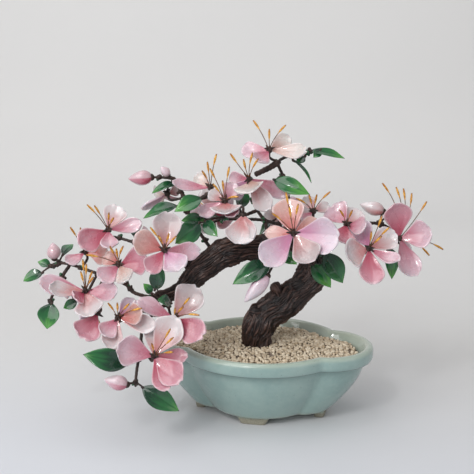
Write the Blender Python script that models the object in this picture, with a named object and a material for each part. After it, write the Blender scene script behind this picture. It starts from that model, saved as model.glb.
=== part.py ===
"""Ornamental cherry blossom bonsai: glass petals and leaves on wire twigs, in a glazed pot.

Places and sizes are in millimetres in the tree frame: x to the right and y away from the side that the
tree shows best, z up, with the origin under the middle of the pot.
"""
import math
import random

import bmesh
import bpy
from mathutils import Matrix, Vector
from mathutils.bvhtree import BVHTree

MM = 0.001
GAP = 0.3
UP = Vector((0.0, 0.0, 1.0))

# The table lies a little above the tree frame's origin
TABLE = 3.0

# The pot: a plan of four lobes, on four bracket feet, with heights above the table
POT_LENGTH = 190.0
POT_DEPTH = 132.0
POT_HEIGHT = 63.0
POT_TURN = math.radians(-12.5)
NOTCH_X = 57.0
NOTCH_Y = 40.0
END_STEPS = 6
SIDE_STEPS = 8
FOOT_HEIGHT = 6.0
FOOT_WIDTH = 29.0
FOOT_THICKNESS = 9.0
BASE_SCALE = 0.64
RIM_BAND = 12.0
WALL = 7.0

# The gravel that fills it
GRAVEL_EDGE = 57.0
GRAVEL_MOUND = 4.0
GRAVEL_FLOOR = 14.0
GRAIN = 1.3

# The trunk: where its middle line runs, and its radius there
TRUNK = [
    ((-4, -4, 45), 11.0), ((-4, -4, 62), 11.7), ((-4, -4, 75), 12.5), ((3, -3, 87), 13.8),
    ((16, -2, 97), 12.9), ((31, 0, 108), 11.7), ((41, 2, 120), 11.3), ((45, 3, 134), 10.8),
    ((39, 3, 147), 10.4), ((23, 2, 152), 10.4), ((2, 0, 146), 10.0), ((-17, -4, 146), 10.0),
    ((-33, -8, 142), 10.8), ((-49, -14, 132), 10.4), ((-62, -20, 121), 7.5), ((-75, -26, 113), 4.7),
    ((-88, -31, 112), 3.7),
]
TRUNK_SIDES = 12
TRUNK_STEPS = 2
TRUNK_TWIST = 0.04
BARK_DEPTH = 0.08
STUB_SIDES = 7
STUBS = [
    ((5, -4, 90), (-11, -9, 93), 7.6, 5.6),
    ((19, -3, 100), (9, -8, 117), 5.6, 4.0),
    ((-32, -7, 144), (-39, -8, 154), 6.0, 4.4),
    ((-54, -13, 131), (-62, -14, 141), 5.6, 3.6),
]

# Wire, hubs and stamens
TWIG = 1.5
STALK = 1.1
TWIG_SIDES = 5
STALK_SIDES = 4
STEM_SIDES = 3
STALK_STRAIGHT = 5.0
LEAF_STEM = (0.95, 0.6)
BUD_STEM = (1.0, 1.0)
STEM_SUNK = 1.5
HUB_SIDES = 6
STAMEN_FOOT = (1.7, 1.5)
HUB_BACK = 3.0
HUB_FRONT = 1.0
HUB_BACK_RADIUS = 1.6
HUB_RADIUS = 3.2
FILAMENT = 0.5
FILAMENT_STARTS = (1.1, 0.35, 0.75)
ANTHER = 1.05
ANTHER_LENGTH = 5.0

# Glass
PETAL_THICKNESS = 0.8
PETAL_ROWS = (0.0, 0.33, 0.7, 0.95)
PETAL_NOTCH = 0.07
PETAL_START = 2.0
PETAL_BEND = math.radians(34)
PETAL_CUP = 0.028
LEAF_THICKNESS = 0.8
LEAF_ROWS = (0.0, 0.28, 0.65, 1.0)
LEAF_BEND = math.radians(-30)
LEAF_FOLD = 0.28
BUD_SIDES = 5

# The small bends, in degrees of swing and of opening and as a share of the length, that are tried in turn
# until a blade or filament stands clear of its neighbours
BENDS = [(0, 0), (5, 0), (-5, 0), (0, 7), (0, -7), (9, 5), (-9, 5), (9, -7), (-9, -7), (0, 13), (0, -14),
         (15, 0), (-15, 0), (13, 12), (-13, 12), (13, -14), (-13, -14), (22, 6), (-22, 6), (22, -10),
         (-22, -10), (0, 22), (0, -22), (20, 18), (-20, 18), (20, -22), (-20, -22), (30, 0), (-30, 0)]
SHARES = (1.0, 0.92, 0.84, 0.76, 0.68, 0.6)

# Each bloom: hub, (turn, rise) that it faces, petals as (angle, opening, length, width, roll) and stamens as
# (angle, tilt, length). Turn 0 faces the front, and angles run anticlockwise from the right, seen from where
# the bloom faces. Roll turns a petal about its rib, 0 for a cupped face towards the bloom's axis.
BLOOMS = {
    "bloom_01": ((-127, -10, 164), (-6, 54),
                 [(78, 81, 23, 20, 10), (33, 92, 27, 13, 24), (-138, 86, 28, 21, -37),
                  (-100, 86, 20, 15, -8)],
                 [(156, 36, 25), (157, 19, 24), (18, 9, 17), (-16, 23, 16)]),
    "bloom_02": ((-148, 0, 143), (-18, 66),
                 [(-116, 87, 20, 13, -14), (-8, 87, 24, 18, 52), (88, 89, 18, 16, 14)],
                 [(-168, 14, 24), (-26, 1, 23), (17, 19, 20)]),
    "bloom_03": ((-117, -28, 139), (-30, 51),
                 [(-104, 76, 21, 17, -37), (-42, 90, 22, 16, 3), (21, 85, 26, 23, 44),
                  (159, 92, 18, 14, -14)],
                 [(96, 3, 18), (42, 35, 17), (-149, 42, 26), (53, 15, 14)]),
    "bloom_04": ((-79, -36, 153), (15, 39),
                 [(163, 70, 27, 21, -25), (77, 75, 31, 23, -7), (-131, 89, 23, 16, -4),
                  (-89, 81, 24, 21, 15), (-3, 100, 29, 15, 22)],
                 [(130, 52, 20), (137, 30, 15), (24, 25, 16), (70, 26, 14)]),
    "bloom_05": ((-144, -32, 118), (12, 54),
                 [(167, 84, 38, 18, -10), (180, 78, 30, 14, -13), (-158, 69, 18, 14, -26),
                  (-23, 66, 30, 17, 32), (-83, 93, 25, 23, 18)],
                 [(97, 26, 25), (83, 22, 22), (28, 15, 19), (115, 26, 15), (-4, 19, 16)]),
    "bloom_06": ((-116, -50, 101), (9, 48),
                 [(-14, 51, 24, 17, 26), (-25, 79, 32, 15, 22), (-106, 101, 27, 17, 0),
                  (44, 97, 22, 14, 13), (-127, 87, 21, 16, -11)],
                 [(156, 25, 16), (102, 9, 15), (6, 24, 18), (1, 55, 22)]),
    "bloom_07": ((-71, -52, 101), (21, 60),
                 [(40, 64, 32, 25, 16), (-56, 85, 29, 22, 43), (128, 93, 32, 15, -14)],
                 [(-22, 17, 24), (-53, 19, 16), (-127, 12, 13), (-42, 53, 22)]),
    "bloom_08": ((-86, -68, 75), (30, 45),
                 [(155, 88, 31, 24, -35), (58, 68, 35, 25, -10), (85, 87, 26, 14, -21),
                  (-70, 75, 31, 22, 38), (15, 84, 26, 13, 12), (-88, 93, 30, 17, 26)],
                 [(45, 20, 27), (5, 17, 25), (-52, 28, 20), (147, 22, 14)]),
    "bloom_09": ((-80, 14, 190), (-147, 39),
                 [(-74, 42, 18, 16, 59), (-56, 93, 24, 12, -6), (-95, 82, 17, 15, 36),
                  (-175, 63, 18, 14, -37)],
                 [(-113, 33, 16), (-167, 41, 16)]),
    "bloom_10": ((-134, -40, 101), (-144, -36),
                 [(-44, 82, 26, 23, -167), (10, 87, 23, 21, 154)],
                 [(-141, 29, 16), (97, 4, 15)]),
    "bloom_11": ((-31, -5, 187), (-9, 54),
                 [(-78, 75, 19, 25, -1), (-130, 98, 24, 13, -17), (-44, 91, 20, 12, 13),
                  (75, 87, 18, 16, 18), (136, 93, 17, 14, -16)],
                 [(137, 28, 28), (69, 26, 28), (164, 26, 17), (99, 17, 16), (-12, 60, 13)]),
    "bloom_12": ((-11, 8, 203), (-24, 27),
                 [(-174, 110, 20, 16, -13), (-66, 54, 19, 25, -6), (-15, 129, 36, 14, 2),
                  (-51, 102, 32, 17, -9), (-138, 111, 23, 14, -17)],
                 [(130, 41, 25), (98, 39, 17), (76, 55, 21), (56, 57, 18)]),
    "bloom_13": ((6, 20, 226), (-12, 69),
                 [(177, 95, 23, 15, -40), (-109, 92, 22, 16, -23), (51, 83, 22, 15, 39),
                  (19, 99, 32, 14, 35)],
                 [(148, 35, 25), (24, 38, 23), (89, 16, 15)]),
    "bloom_14": ((-16, -24, 178), (177, -66),
                 [(-82, 62, 27, 24, 170), (-112, 65, 23, 14, -136)],
                 [(43, 16, 15), (125, 23, 15)]),
    "bloom_15": ((24, -37, 167), (-12, 48),
                 [(108, 78, 30, 25, 1), (64, 98, 24, 16, 15), (152, 95, 23, 13, -14),
                  (-132, 93, 36, 24, -30), (-53, 101, 30, 23, 10), (-6, 84, 37, 29, 35)],
                 [(107, 33, 32), (105, 30, 21), (72, 32, 23), (169, 35, 24)]),
    "bloom_16": ((42, -2, 178), (-3, 66),
                 [(42, 98, 16, 10, 35), (110, 71, 15, 12, -12), (-130, 95, 15, 10, -20)],
                 [(-173, 46, 17), (174, 13, 14), (3, 7, 14), (7, 36, 20)]),
    "bloom_17": ((69, -10, 169), (15, 57),
                 [(109, 92, 21, 23, -24), (-116, 97, 22, 20, -4), (-60, 66, 19, 17, 31),
                  (65, 84, 20, 17, 2)],
                 [(175, 29, 15), (-79, 7, 15)]),
    "bloom_18": ((86, -26, 152), (15, 42),
                 [(-165, 81, 24, 24, -23), (-96, 96, 31, 20, 11), (107, 91, 27, 20, -19),
                  (46, 84, 27, 20, 7), (-47, 73, 27, 12, 6)],
                 [(65, 34, 27), (28, 34, 23), (98, 24, 14), (22, 28, 13)]),
    "bloom_19": ((115, -2, 155), (129, 24),
                 [(88, 73, 31, 24, -121), (177, 54, 27, 23, 145), (-121, 112, 34, 20, 102)],
                 [(54, 68, 46), (67, 57, 41), (76, 52, 39), (85, 43, 36), (104, 22, 37), (-125, 49, 38),
                  (-114, 61, 29)]),
    "bloom_20": ((24, 42, 158), (178, 12),
                 [(90, 68, 23, 19, 0), (18, 68, 24, 20, 0), (-54, 68, 23, 19, 0), (-126, 68, 22, 18, 0),
                  (162, 68, 24, 20, 0)],
                 [(60, 28, 22), (105, 30, 20), (150, 28, 22)]),
    "bloom_21": ((-42, 38, 168), (195, 5),
                 [(80, 68, 22, 18, 0), (8, 68, 23, 19, 0), (-64, 68, 22, 18, 0), (-136, 68, 23, 19, 0),
                  (152, 68, 22, 18, 0)],
                 [(70, 28, 20), (120, 30, 20), (30, 30, 19)]),
    "bloom_22": ((-43, 4, 197), (-15, 72),
                 [(143, 79, 19, 13, -28), (165, 77, 32, 10, -41)],
                 [(113, 11, 19), (56, 20, 26), (-130, 19, 16)]),
}

# Each spray: its root (a point on the trunk's middle line and one clear of the bark), its twigs, the joint
# that each bloom's stalk starts from, leaves as (joint, base, tip, roll, width) and buds as (joint, base,
# tip, radius). Roll turns a leaf's upper face about its rib, 0 for a face that looks up.
SPRAYS = {
    "spray_left": {
        "root": ((-80, -28, 112), (-94, -34, 113)),
        "twigs": [[(-94, -34, 113), (-105, -34, 117), (-112, -28, 122), (-128, -20, 126), (-144, -14, 130),
                   (-160, -6, 133), (-170, -2, 133), (-177, 0, 130)],
                  [(-160, -6, 133), (-166, -14, 124), (-172, -26, 112), (-173, -30, 108)]],
        "stalks": {"bloom_02": [(-150, -11, 131)], "bloom_03": [(-108, -31, 119)],
                   "bloom_05": [(-136, -17, 128)], "bloom_10": [(-130, -19, 126), (-136, -28, 112)]},
        "leaves": [((-177, 0, 130), (-184, -4, 125), (-200, -7, 119), -40, 11),
                   ((-174, -1, 131), (-179, 6, 128), (-190, 8, 132), -30, 9),
                   ((-173, -30, 108), (-171, -36, 108), (-175, -42, 88), -25, 17),
                   ((-166, -14, 124), (-152, -28, 108), (-163, -30, 102), -75, 8),
                   ((-170, -2, 133), (-168, 6, 138), (-160, 14, 146), 10, 10)],
        "buds": [((-170, -2, 133), (-174, 0, 136), (-175, 1, 150), 5.2),
                 ((-166, -14, 124), (-162, -19, 116), (-161, -20, 107), 3.0)],
    },
    "spray_low": {
        "root": ((-68, -21, 116), (-77, -37, 108)),
        "twigs": [[(-77, -37, 108), (-86, -44, 104), (-96, -52, 92), (-98, -58, 76), (-100, -66, 64),
                   (-101, -72, 54)]],
        "stalks": {"bloom_06": [(-88, -45, 102), (-101, -42, 103)], "bloom_07": [(-77, -37, 108)],
                   "bloom_08": [(-97, -56, 80)]},
        "leaves": [((-99, -62, 70), (-108, -70, 68), (-141, -76, 79), -65, 17),
                   ((-101, -72, 54), (-95, -75, 51), (-66, -80, 33), 65, 16),
                   ((-77, -37, 108), (-74, -45, 111), (-84, -52, 116), -50, 10),
                   ((-77, -37, 108), (-87, -40, 121), (-81, -42, 143), 100, 12),
                   ((-77, -37, 108), (-90, -38, 117), (-96, -40, 126), -70, 7)],
        "buds": [((-101, -72, 54), (-107, -74, 53), (-125, -76, 58), 5.4)],
    },
    "spray_upper_left": {
        "root": ((-58, -17, 123), (-65, -16, 138)),
        "twigs": [[(-65, -16, 138), (-76, -18, 146), (-91, -16, 150), (-105, -12, 153), (-118, -8, 156)]],
        "stalks": {"bloom_01": [(-118, -8, 156)], "bloom_04": [(-76, -18, 146)]},
        "leaves": [((-105, -12, 153), (-106, -2, 156), (-112, 14, 162), 15, 12)],
        "buds": [((-91, -16, 150), (-95, -6, 154), (-99, 2, 164), 3.4)],
    },
    "spray_middle": {
        "root": ((-36, -8, 137), (-48, 2, 152)),
        "twigs": [[(-48, 2, 152), (-56, 3, 164), (-64, 4, 180), (-68, 9, 192), (-74, 14, 201),
                   (-86, 15, 203)],
                  [(-62, 4, 176), (-54, 1, 186), (-46, 0, 191)]],
        "stalks": {"bloom_09": [(-66, 6, 187)], "bloom_11": [(-46, 0, 191)],
                   "bloom_22": [(-54, 1, 186)]},
        "leaves": [((-62, 4, 176), (-70, -3, 182), (-99, -6, 173), -30, 13),
                   ((-68, 9, 192), (-72, 12, 198), (-92, 4, 192), -20, 10),
                   ((-54, 1, 186), (-50, -12, 190), (-72, -20, 181), -50, 13),
                   ((-56, 3, 164), (-52, -14, 170), (-71, -25, 155), -72, 17),
                   ((-56, 3, 164), (-47, -12, 171), (-37, -24, 161), 60, 11)],
        "buds": [((-86, 15, 203), (-92, 14, 203), (-112, 13, 202), 5.6),
                 ((-74, 14, 201), (-78, 12, 205), (-84, 8, 213), 3.4)],
    },
    "spray_crown": {
        "root": ((8, 2, 148), (2, 6, 168)),
        "twigs": [[(2, 6, 168), (-4, 8, 176), (-8, 10, 184)],
                  [(-4, 8, 176), (-16, 2, 173), (-30, 2, 172), (-46, -1, 170)]],
        "stalks": {"bloom_12": [(-8, 10, 184)], "bloom_14": [(-16, 2, 173), (-19, -8, 181)]},
        "leaves": [((-30, 2, 172), (-34, 8, 170), (-58, 22, 160), 25, 13),
                   ((-46, -1, 170), (-50, -6, 173), (-67, -10, 171), -70, 9)],
        "buds": [],
    },
    "spray_top": {
        "root": ((26, 4, 154), (23, 12, 173)),
        "twigs": [[(23, 12, 173), (22, 20, 188), (18, 26, 202), (14, 25, 214), (24, 24, 220),
                   (39, 24, 223)]],
        "stalks": {"bloom_13": [(14, 25, 214)]},
        "leaves": [((24, 24, 220), (19, 26, 223), (24, 27, 230), 30, 8),
                   ((39, 24, 223), (49, 22, 225), (43, 18, 219), -60, 7),
                   ((39, 24, 223), (41, 22, 224), (70, 19, 219), 35, 9),
                   ((24, 24, 220), (26, 16, 217), (42, 6, 200), -40, 8),
                   ((18, 26, 202), (10, 8, 202), (39, -4, 192), 65, 13),
                   ((39, 24, 223), (36, 23, 219), (29, 21, 214), -50, 8)],
        "buds": [],
    },
    "spray_front": {
        "root": ((37, 2, 150), (33, -13, 164)),
        "twigs": [[(33, -13, 164), (27, -20, 158), (20, -24, 150), (10, -28, 141)],
                  [(33, -13, 164), (40, -18, 156), (46, -20, 146)]],
        "stalks": {"bloom_15": [(27, -20, 158)], "bloom_16": [(33, -13, 164), (38, -7, 170)]},
        "leaves": [((10, -28, 141), (6, -31, 140), (-25, -38, 125), -55, 16),
                   ((20, -24, 150), (15, -27, 149), (27, -37, 141), 60, 10),
                   ((46, -20, 146), (40, -22, 137), (56, -28, 119), 50, 14),
                   ((46, -20, 146), (50, -22, 146), (66, -26, 122), 60, 17)],
        "buds": [((10, -28, 141), (4, -34, 131), (-15, -42, 111), 5.4)],
    },
    "spray_right": {
        "root": ((43, 3, 140), (64, 1, 156)),
        "twigs": [[(64, 1, 156), (72, 0, 162), (84, -2, 167), (98, 0, 166), (108, 4, 160), (112, 6, 150)]],
        "stalks": {"bloom_17": [(66, 1, 158)], "bloom_18": [(84, -2, 167), (86, -8, 160)],
                   "bloom_19": [(108, 4, 160)]},
        "leaves": [((112, 6, 150), (105, -8, 148), (118, -12, 124), -60, 12),
                   ((98, 0, 166), (104, 10, 170), (122, 22, 172), 15, 12)],
        "buds": [((112, 6, 150), (118, 12, 146), (128, 17, 140), 3.6),
                 ((98, 0, 166), (102, 8, 175), (82, 10, 181), 5.2)],
    },
    "spray_back": {
        "root": ((20, 2, 152), (14, 18, 162)),
        "twigs": [[(14, 18, 162), (18, 26, 168), (26, 34, 174)],
                  [(14, 18, 162), (0, 26, 164), (-18, 29, 164), (-34, 28, 164), (-46, 26, 160)]],
        "stalks": {"bloom_20": [(26, 34, 174)], "bloom_21": [(-34, 28, 164)]},
        "leaves": [((18, 26, 168), (10, 31, 162), (-3, 36, 145), -30, 12),
                   ((-46, 26, 160), (-54, 30, 158), (-76, 36, 148), 15, 14),
                   ((-18, 29, 164), (-20, 36, 172), (-14, 46, 190), 60, 13)],
        "buds": [((-46, 26, 160), (-52, 28, 166), (-62, 30, 178), 4.6)],
    },
}


# Faces that turn by less than this count as one flat face
FLAT_ANGLE = math.radians(0.5)


# Directions and paths

def facing(turn, rise):
    """Unit vector for a turn from the front towards the right and a rise from level, in degrees."""
    turn, rise = math.radians(turn), math.radians(rise)
    return Vector((math.sin(turn) * math.cos(rise), -math.cos(turn) * math.cos(rise), math.sin(rise)))


def across(axis):
    """Right and up directions of someone who looks at a thing that faces along the axis."""
    right = UP.cross(axis).normalized()
    return right, axis.cross(right)


def splay(axis, angle, opening):
    """Direction that leaves the axis by the opening, towards the angle round it, in degrees."""
    right, up = across(axis)
    angle, opening = math.radians(angle), math.radians(opening)
    return math.cos(opening) * axis + math.sin(opening) * (math.cos(angle) * right + math.sin(angle) * up)


def smooth(points, steps):
    """Points of a smooth curve through the given ones, with this many steps from each to the next."""
    points = [Vector(point) for point in points]
    ends = [2 * points[0] - points[1]] + points + [2 * points[-1] - points[-2]]
    curve = []
    for a, b, c, d in zip(ends, ends[1:], ends[2:], ends[3:]):
        for step in range(steps):
            t = step / steps
            curve.append(0.5 * (2 * b + (c - a) * t + (2 * a - 5 * b + 4 * c - d) * t ** 2
                                + (3 * b - a - 3 * c + d) * t ** 3))
    return curve + [points[-1]]


# Closed shapes, each as a list of points and a list of faces that look out

def tube(path, radii, sides, twist=0.0, relief=0.0):
    """Tube round a path, with flat ends. Relief sets every second side in, as bark grooves do."""
    directions = [(b - a).normalized() for a, b in zip(path, path[1:])]
    directions = directions[:1] + [(a + b).normalized() for a, b in zip(directions, directions[1:])] \
        + directions[-1:]
    side = directions[0].orthogonal().normalized()
    points, faces = [], []
    for ring, (centre, radius, along) in enumerate(zip(path, radii, directions)):
        side = (side - side.dot(along) * along).normalized()
        other = along.cross(side)
        for k in range(sides):
            angle = 2 * math.pi * k / sides + twist * ring
            reach = radius * (1 + relief * (-1) ** k)
            points.append(centre + reach * (math.cos(angle) * side + math.sin(angle) * other))
    for ring in range(len(path) - 1):
        for k in range(sides):
            a, b = ring * sides + k, ring * sides + (k + 1) % sides
            faces += [(a, b, b + sides), (a, b + sides, a + sides)]
    last = (len(path) - 1) * sides
    faces += [tuple(reversed(range(sides))), tuple(range(last, last + sides))]
    return points, faces


def blade(base, along, face, length, rows, half_width, bend, cup, fold, notch, thickness):
    """Thin blade on a bent rib, with the same triangles on both faces.

    Each row across it has three points, but a row at the base has two and a pointed tip has one.
    """
    side = along.cross(face).normalized()
    face = side.cross(along).normalized()
    centre, reached = Vector(base), 0.0
    top, bottom, places = [], [], []
    for row in rows:
        middle = bend * ((row + reached) / 2 - 0.4)
        centre = centre + length * (row - reached) * (math.cos(middle) * along + math.sin(middle) * face)
        reached = row
        slope = bend * (row - 0.4)
        normal = math.cos(slope) * face - math.sin(slope) * along
        forward = math.cos(slope) * along + math.sin(slope) * face
        reach = half_width(row)
        raised = cup * reach * reach + fold * reach
        across_row = (-1, 1) if row == 0 else (-1, 0, 1) if reach > 0 else (0,)
        places.append([len(top) + k for k in range(len(across_row))])
        for k in across_row:
            back = notch * length if k == 0 and row == rows[-1] else 0.0
            point = centre + side * reach * k + normal * raised * abs(k) - forward * back
            top.append(point + normal * thickness / 2)
            bottom.append(point - normal * thickness / 2)
    triangles = []
    for near_row, far_row in zip(places, places[1:]):
        if len(near_row) == 2:
            (a, b), (c, d, e) = near_row, far_row
            triangles += [(a, d, c), (a, b, d), (b, e, d)]
        elif len(far_row) == 1:
            (a, b, c), (d,) = near_row, far_row
            triangles += [(a, b, d), (b, c, d)]
        else:
            (a, b, c), (d, e, f) = near_row, far_row
            triangles += [(a, b, e), (a, e, d), (b, c, e), (c, f, e)]
    under = len(top)
    faces = triangles + [(under + c, under + b, under + a) for a, b, c in triangles]
    edge = places[0] + [row[-1] for row in places[1:-1]] + places[-1][::-1] \
        + [row[0] for row in places[-2:0:-1]]
    for a, b in zip(edge, edge[1:] + edge[:1]):
        faces += [(b, a, under + a), (b, under + a, under + b)]
    return top + bottom, faces


def petal_shape(hub, axis, angle, opening, length, width, roll, thickness=PETAL_THICKNESS):
    """Petal that leaves the hub, its cupped face towards the bloom's axis but for the roll."""
    along = splay(axis, angle, opening)
    base = hub - axis + splay(axis, angle, 90) * PETAL_START
    face = Matrix.Rotation(math.radians(roll), 3, along) @ axis

    def half_width(row):
        return width / 2 * (0.11 * (1 - row) + math.sin(math.pi * row ** 1.7) ** 0.6)
    return blade(base, along, face, length, PETAL_ROWS, half_width, PETAL_BEND, PETAL_CUP, 0.0, PETAL_NOTCH,
                 thickness)


def leaf_shape(base, tip, roll, width, thickness=LEAF_THICKNESS):
    """Pointed leaf from its base to its tip, folded along the rib."""
    along = (tip - base).normalized()
    level = along.cross(UP).normalized()
    face = Matrix.Rotation(math.radians(roll), 3, along) @ level.cross(along)

    def half_width(row):
        if row == 1.0:
            return 0.0
        return width / 2 * (0.12 * (1 - row) + math.sin(math.pi * row ** 0.85))
    return blade(base, along, face, (tip - base).length, LEAF_ROWS, half_width, LEAF_BEND, 0.0, LEAF_FOLD,
                 0.0, thickness)


def bud_shape(base, tip, radius):
    """Pointed oval bud on a narrow collar."""
    path = [base.lerp(tip, share) for share in (0.0, 0.2, 0.6, 1.0)]
    return tube(path, [0.3 * radius, 0.85 * radius, radius, 0.25 * radius], BUD_SIDES)


def filament_shape(base, axis, angle, tilt, length, from_middle, thickness=0.0):
    """Wire that bows outward, with a spindle at its tip."""
    shares = (0.0, 1 - ANTHER_LENGTH / length, 1 - ANTHER_LENGTH / length / 2, 1.0)
    start = base + from_middle * splay(axis, angle, 90)
    path = [start + length * share * splay(axis, angle, tilt * (0.6 + 0.4 * share)) for share in shares]
    radii = [radius + thickness for radius in (FILAMENT, FILAMENT, ANTHER, FILAMENT)]
    return tube(path, radii, 3)


def box_of(shape):
    """Lowest and highest corners of a shape."""
    return [[pick(point[k] for point in shape[0]) for k in range(3)] for pick in (min, max)]


# Objects

def make_material(name, colour, roughness, metallic=0.0):
    """Plain material for one kind of surface."""
    material = bpy.data.materials.new(name)
    material.use_nodes = True
    shader = material.node_tree.nodes["Principled BSDF"]
    shader.inputs["Base Color"].default_value = (*colour, 1.0)
    shader.inputs["Roughness"].default_value = roughness
    shader.inputs["Metallic"].default_value = metallic
    material.diffuse_color = (*colour, 1.0)
    return material


def make_object(name, shape, material, root=None):
    """Object from points in millimetres in the tree frame."""
    points, faces = shape
    mesh = bpy.data.meshes.new(name)
    mesh.from_pydata([Vector(point) * MM for point in points], [], faces)
    mesh.materials.append(material)
    made = bmesh.new()
    made.from_mesh(mesh)
    bmesh.ops.triangulate(made, faces=made.faces)
    bmesh.ops.recalc_face_normals(made, faces=made.faces)
    made.to_mesh(mesh)
    made.free()
    thing = bpy.data.objects.new(name, mesh)
    bpy.context.scene.collection.objects.link(thing)
    thing.parent = root
    return thing


def combine(thing, others, operation):
    """Fuse the others into a thing, or cut them out of it, and remove them.

    The second solver is only for a join that the first one leaves open.
    """
    if not others:
        return
    group = bpy.data.collections.new(thing.name + "_pieces")
    for other in others:
        group.objects.link(other)
    change = thing.modifiers.new("Combine", "BOOLEAN")
    change.operation = operation
    change.operand_type = "COLLECTION"
    change.collection = group
    for solver in ("EXACT", "MANIFOLD"):
        change.solver = solver
        graph = bpy.context.evaluated_depsgraph_get()
        mesh = bpy.data.meshes.new_from_object(thing.evaluated_get(graph))
        made = bmesh.new()
        made.from_mesh(mesh)
        bmesh.ops.dissolve_limit(made, angle_limit=FLAT_ANGLE, verts=made.verts, edges=made.edges)
        bmesh.ops.triangulate(made, faces=made.faces)
        closed = all(edge.is_manifold for edge in made.edges)
        made.to_mesh(mesh)
        made.free()
        if closed:
            break
    thing.modifiers.clear()
    thing.data = mesh
    for other in others:
        bpy.data.objects.remove(other)
    bpy.data.collections.remove(group)


def fuse(name, shapes, material, root):
    """One body from shapes that overlap."""
    thing = make_object(name, shapes[0], material, root)
    combine(thing, [make_object(name + "_piece", shape, material) for shape in shapes[1:]], "UNION")
    return thing


class Neighbours:
    """The shapes placed so far, to bend each new blade clear of them.

    A carrier is what its own piece's blades grow from, so it stands in the way of other pieces only.
    """

    def __init__(self):
        self.placed = []

    def add(self, node, shape, carrier=True):
        low, high = box_of(shape)
        self.placed.append((node, carrier, low, high, BVHTree.FromPolygons(*shape)))

    def clear(self, node, shape, apart):
        low, high = box_of(shape)
        tree = None
        for other, carrier, other_low, other_high, other_tree in self.placed:
            if other == node and (carrier or not apart):
                continue
            if any(low[k] > other_high[k] or high[k] < other_low[k] for k in range(3)):
                continue
            tree = tree or BVHTree.FromPolygons(*shape)
            if tree.overlap(other_tree):
                return False
        return True

    def settle(self, node, shape_at, carrier=False):
        """The first of the small bends that stands clear, at first also of its own piece's blades."""
        tries = [(True, share) for share in SHARES[:3]] + [(False, share) for share in SHARES]
        for apart, share in tries:
            for swing, opening in BENDS:
                if self.clear(node, shape_at(swing, opening, share, 2 * GAP), apart):
                    shape = shape_at(swing, opening, share, 0.0)
                    self.add(node, shape, carrier)
                    return shape
        return None


# The pot and its gravel

def pot_ring(inset, scale, height):
    """One level of the plan of four lobes, set in from the rim's outline and then scaled."""
    end_radius = ((POT_LENGTH / 2 - NOTCH_X) ** 2 + NOTCH_Y ** 2) / (POT_LENGTH - 2 * NOTCH_X)
    side_radius = ((POT_DEPTH / 2 - NOTCH_Y) ** 2 + NOTCH_X ** 2) / (POT_DEPTH - 2 * NOTCH_Y)
    end = Vector((POT_LENGTH / 2 - end_radius, 0.0))
    side = Vector((0.0, POT_DEPTH / 2 - side_radius))
    end_radius -= inset
    side_radius -= inset
    between = side - end
    reach = (end_radius ** 2 - side_radius ** 2 + between.length_squared) / (2 * between.length)
    height_over = math.sqrt(end_radius ** 2 - reach ** 2)
    line = between.normalized()
    notch = end + reach * line + height_over * Vector((line.y, -line.x))
    half = math.atan2(notch.y - end.y, notch.x - end.x)
    start = math.atan2(notch.y - side.y, notch.x - side.x)
    arc = [end + end_radius * Vector((math.cos(a), math.sin(a)))
           for a in (half * (2 * k / END_STEPS - 1) for k in range(END_STEPS))]
    arc += [side + side_radius * Vector((math.cos(a), math.sin(a)))
            for a in (start + (math.pi - 2 * start) * k / SIDE_STEPS for k in range(SIDE_STEPS))]
    turned = Matrix.Rotation(POT_TURN, 2)
    ring = [turned @ (point * scale) for point in arc + [-point for point in arc]]
    return [Vector((point.x, point.y, height + TABLE)) for point in ring]


def stacked(rings):
    """Closed shape through rings of equal count, closed by a flat face at each end."""
    count = len(rings[0])
    points = [point for ring in rings for point in ring]
    faces = []
    for ring in range(len(rings) - 1):
        for k in range(count):
            a, b = ring * count + k, ring * count + (k + 1) % count
            faces += [(a, b, b + count), (a, b + count, a + count)]
    last = (len(rings) - 1) * count
    return points, faces + [tuple(reversed(range(count))), tuple(range(last, last + count))]



def inner_wall(height):
    """Inset and scale of the pot's inner wall at a height."""
    share = max(0.0, min(1.0, (height - GRAVEL_FLOOR) / (POT_HEIGHT - RIM_BAND - GRAVEL_FLOOR)))
    return WALL + 4.0, BASE_SCALE + (0.97 - BASE_SCALE) * math.sin(share * math.pi / 2)


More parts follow.
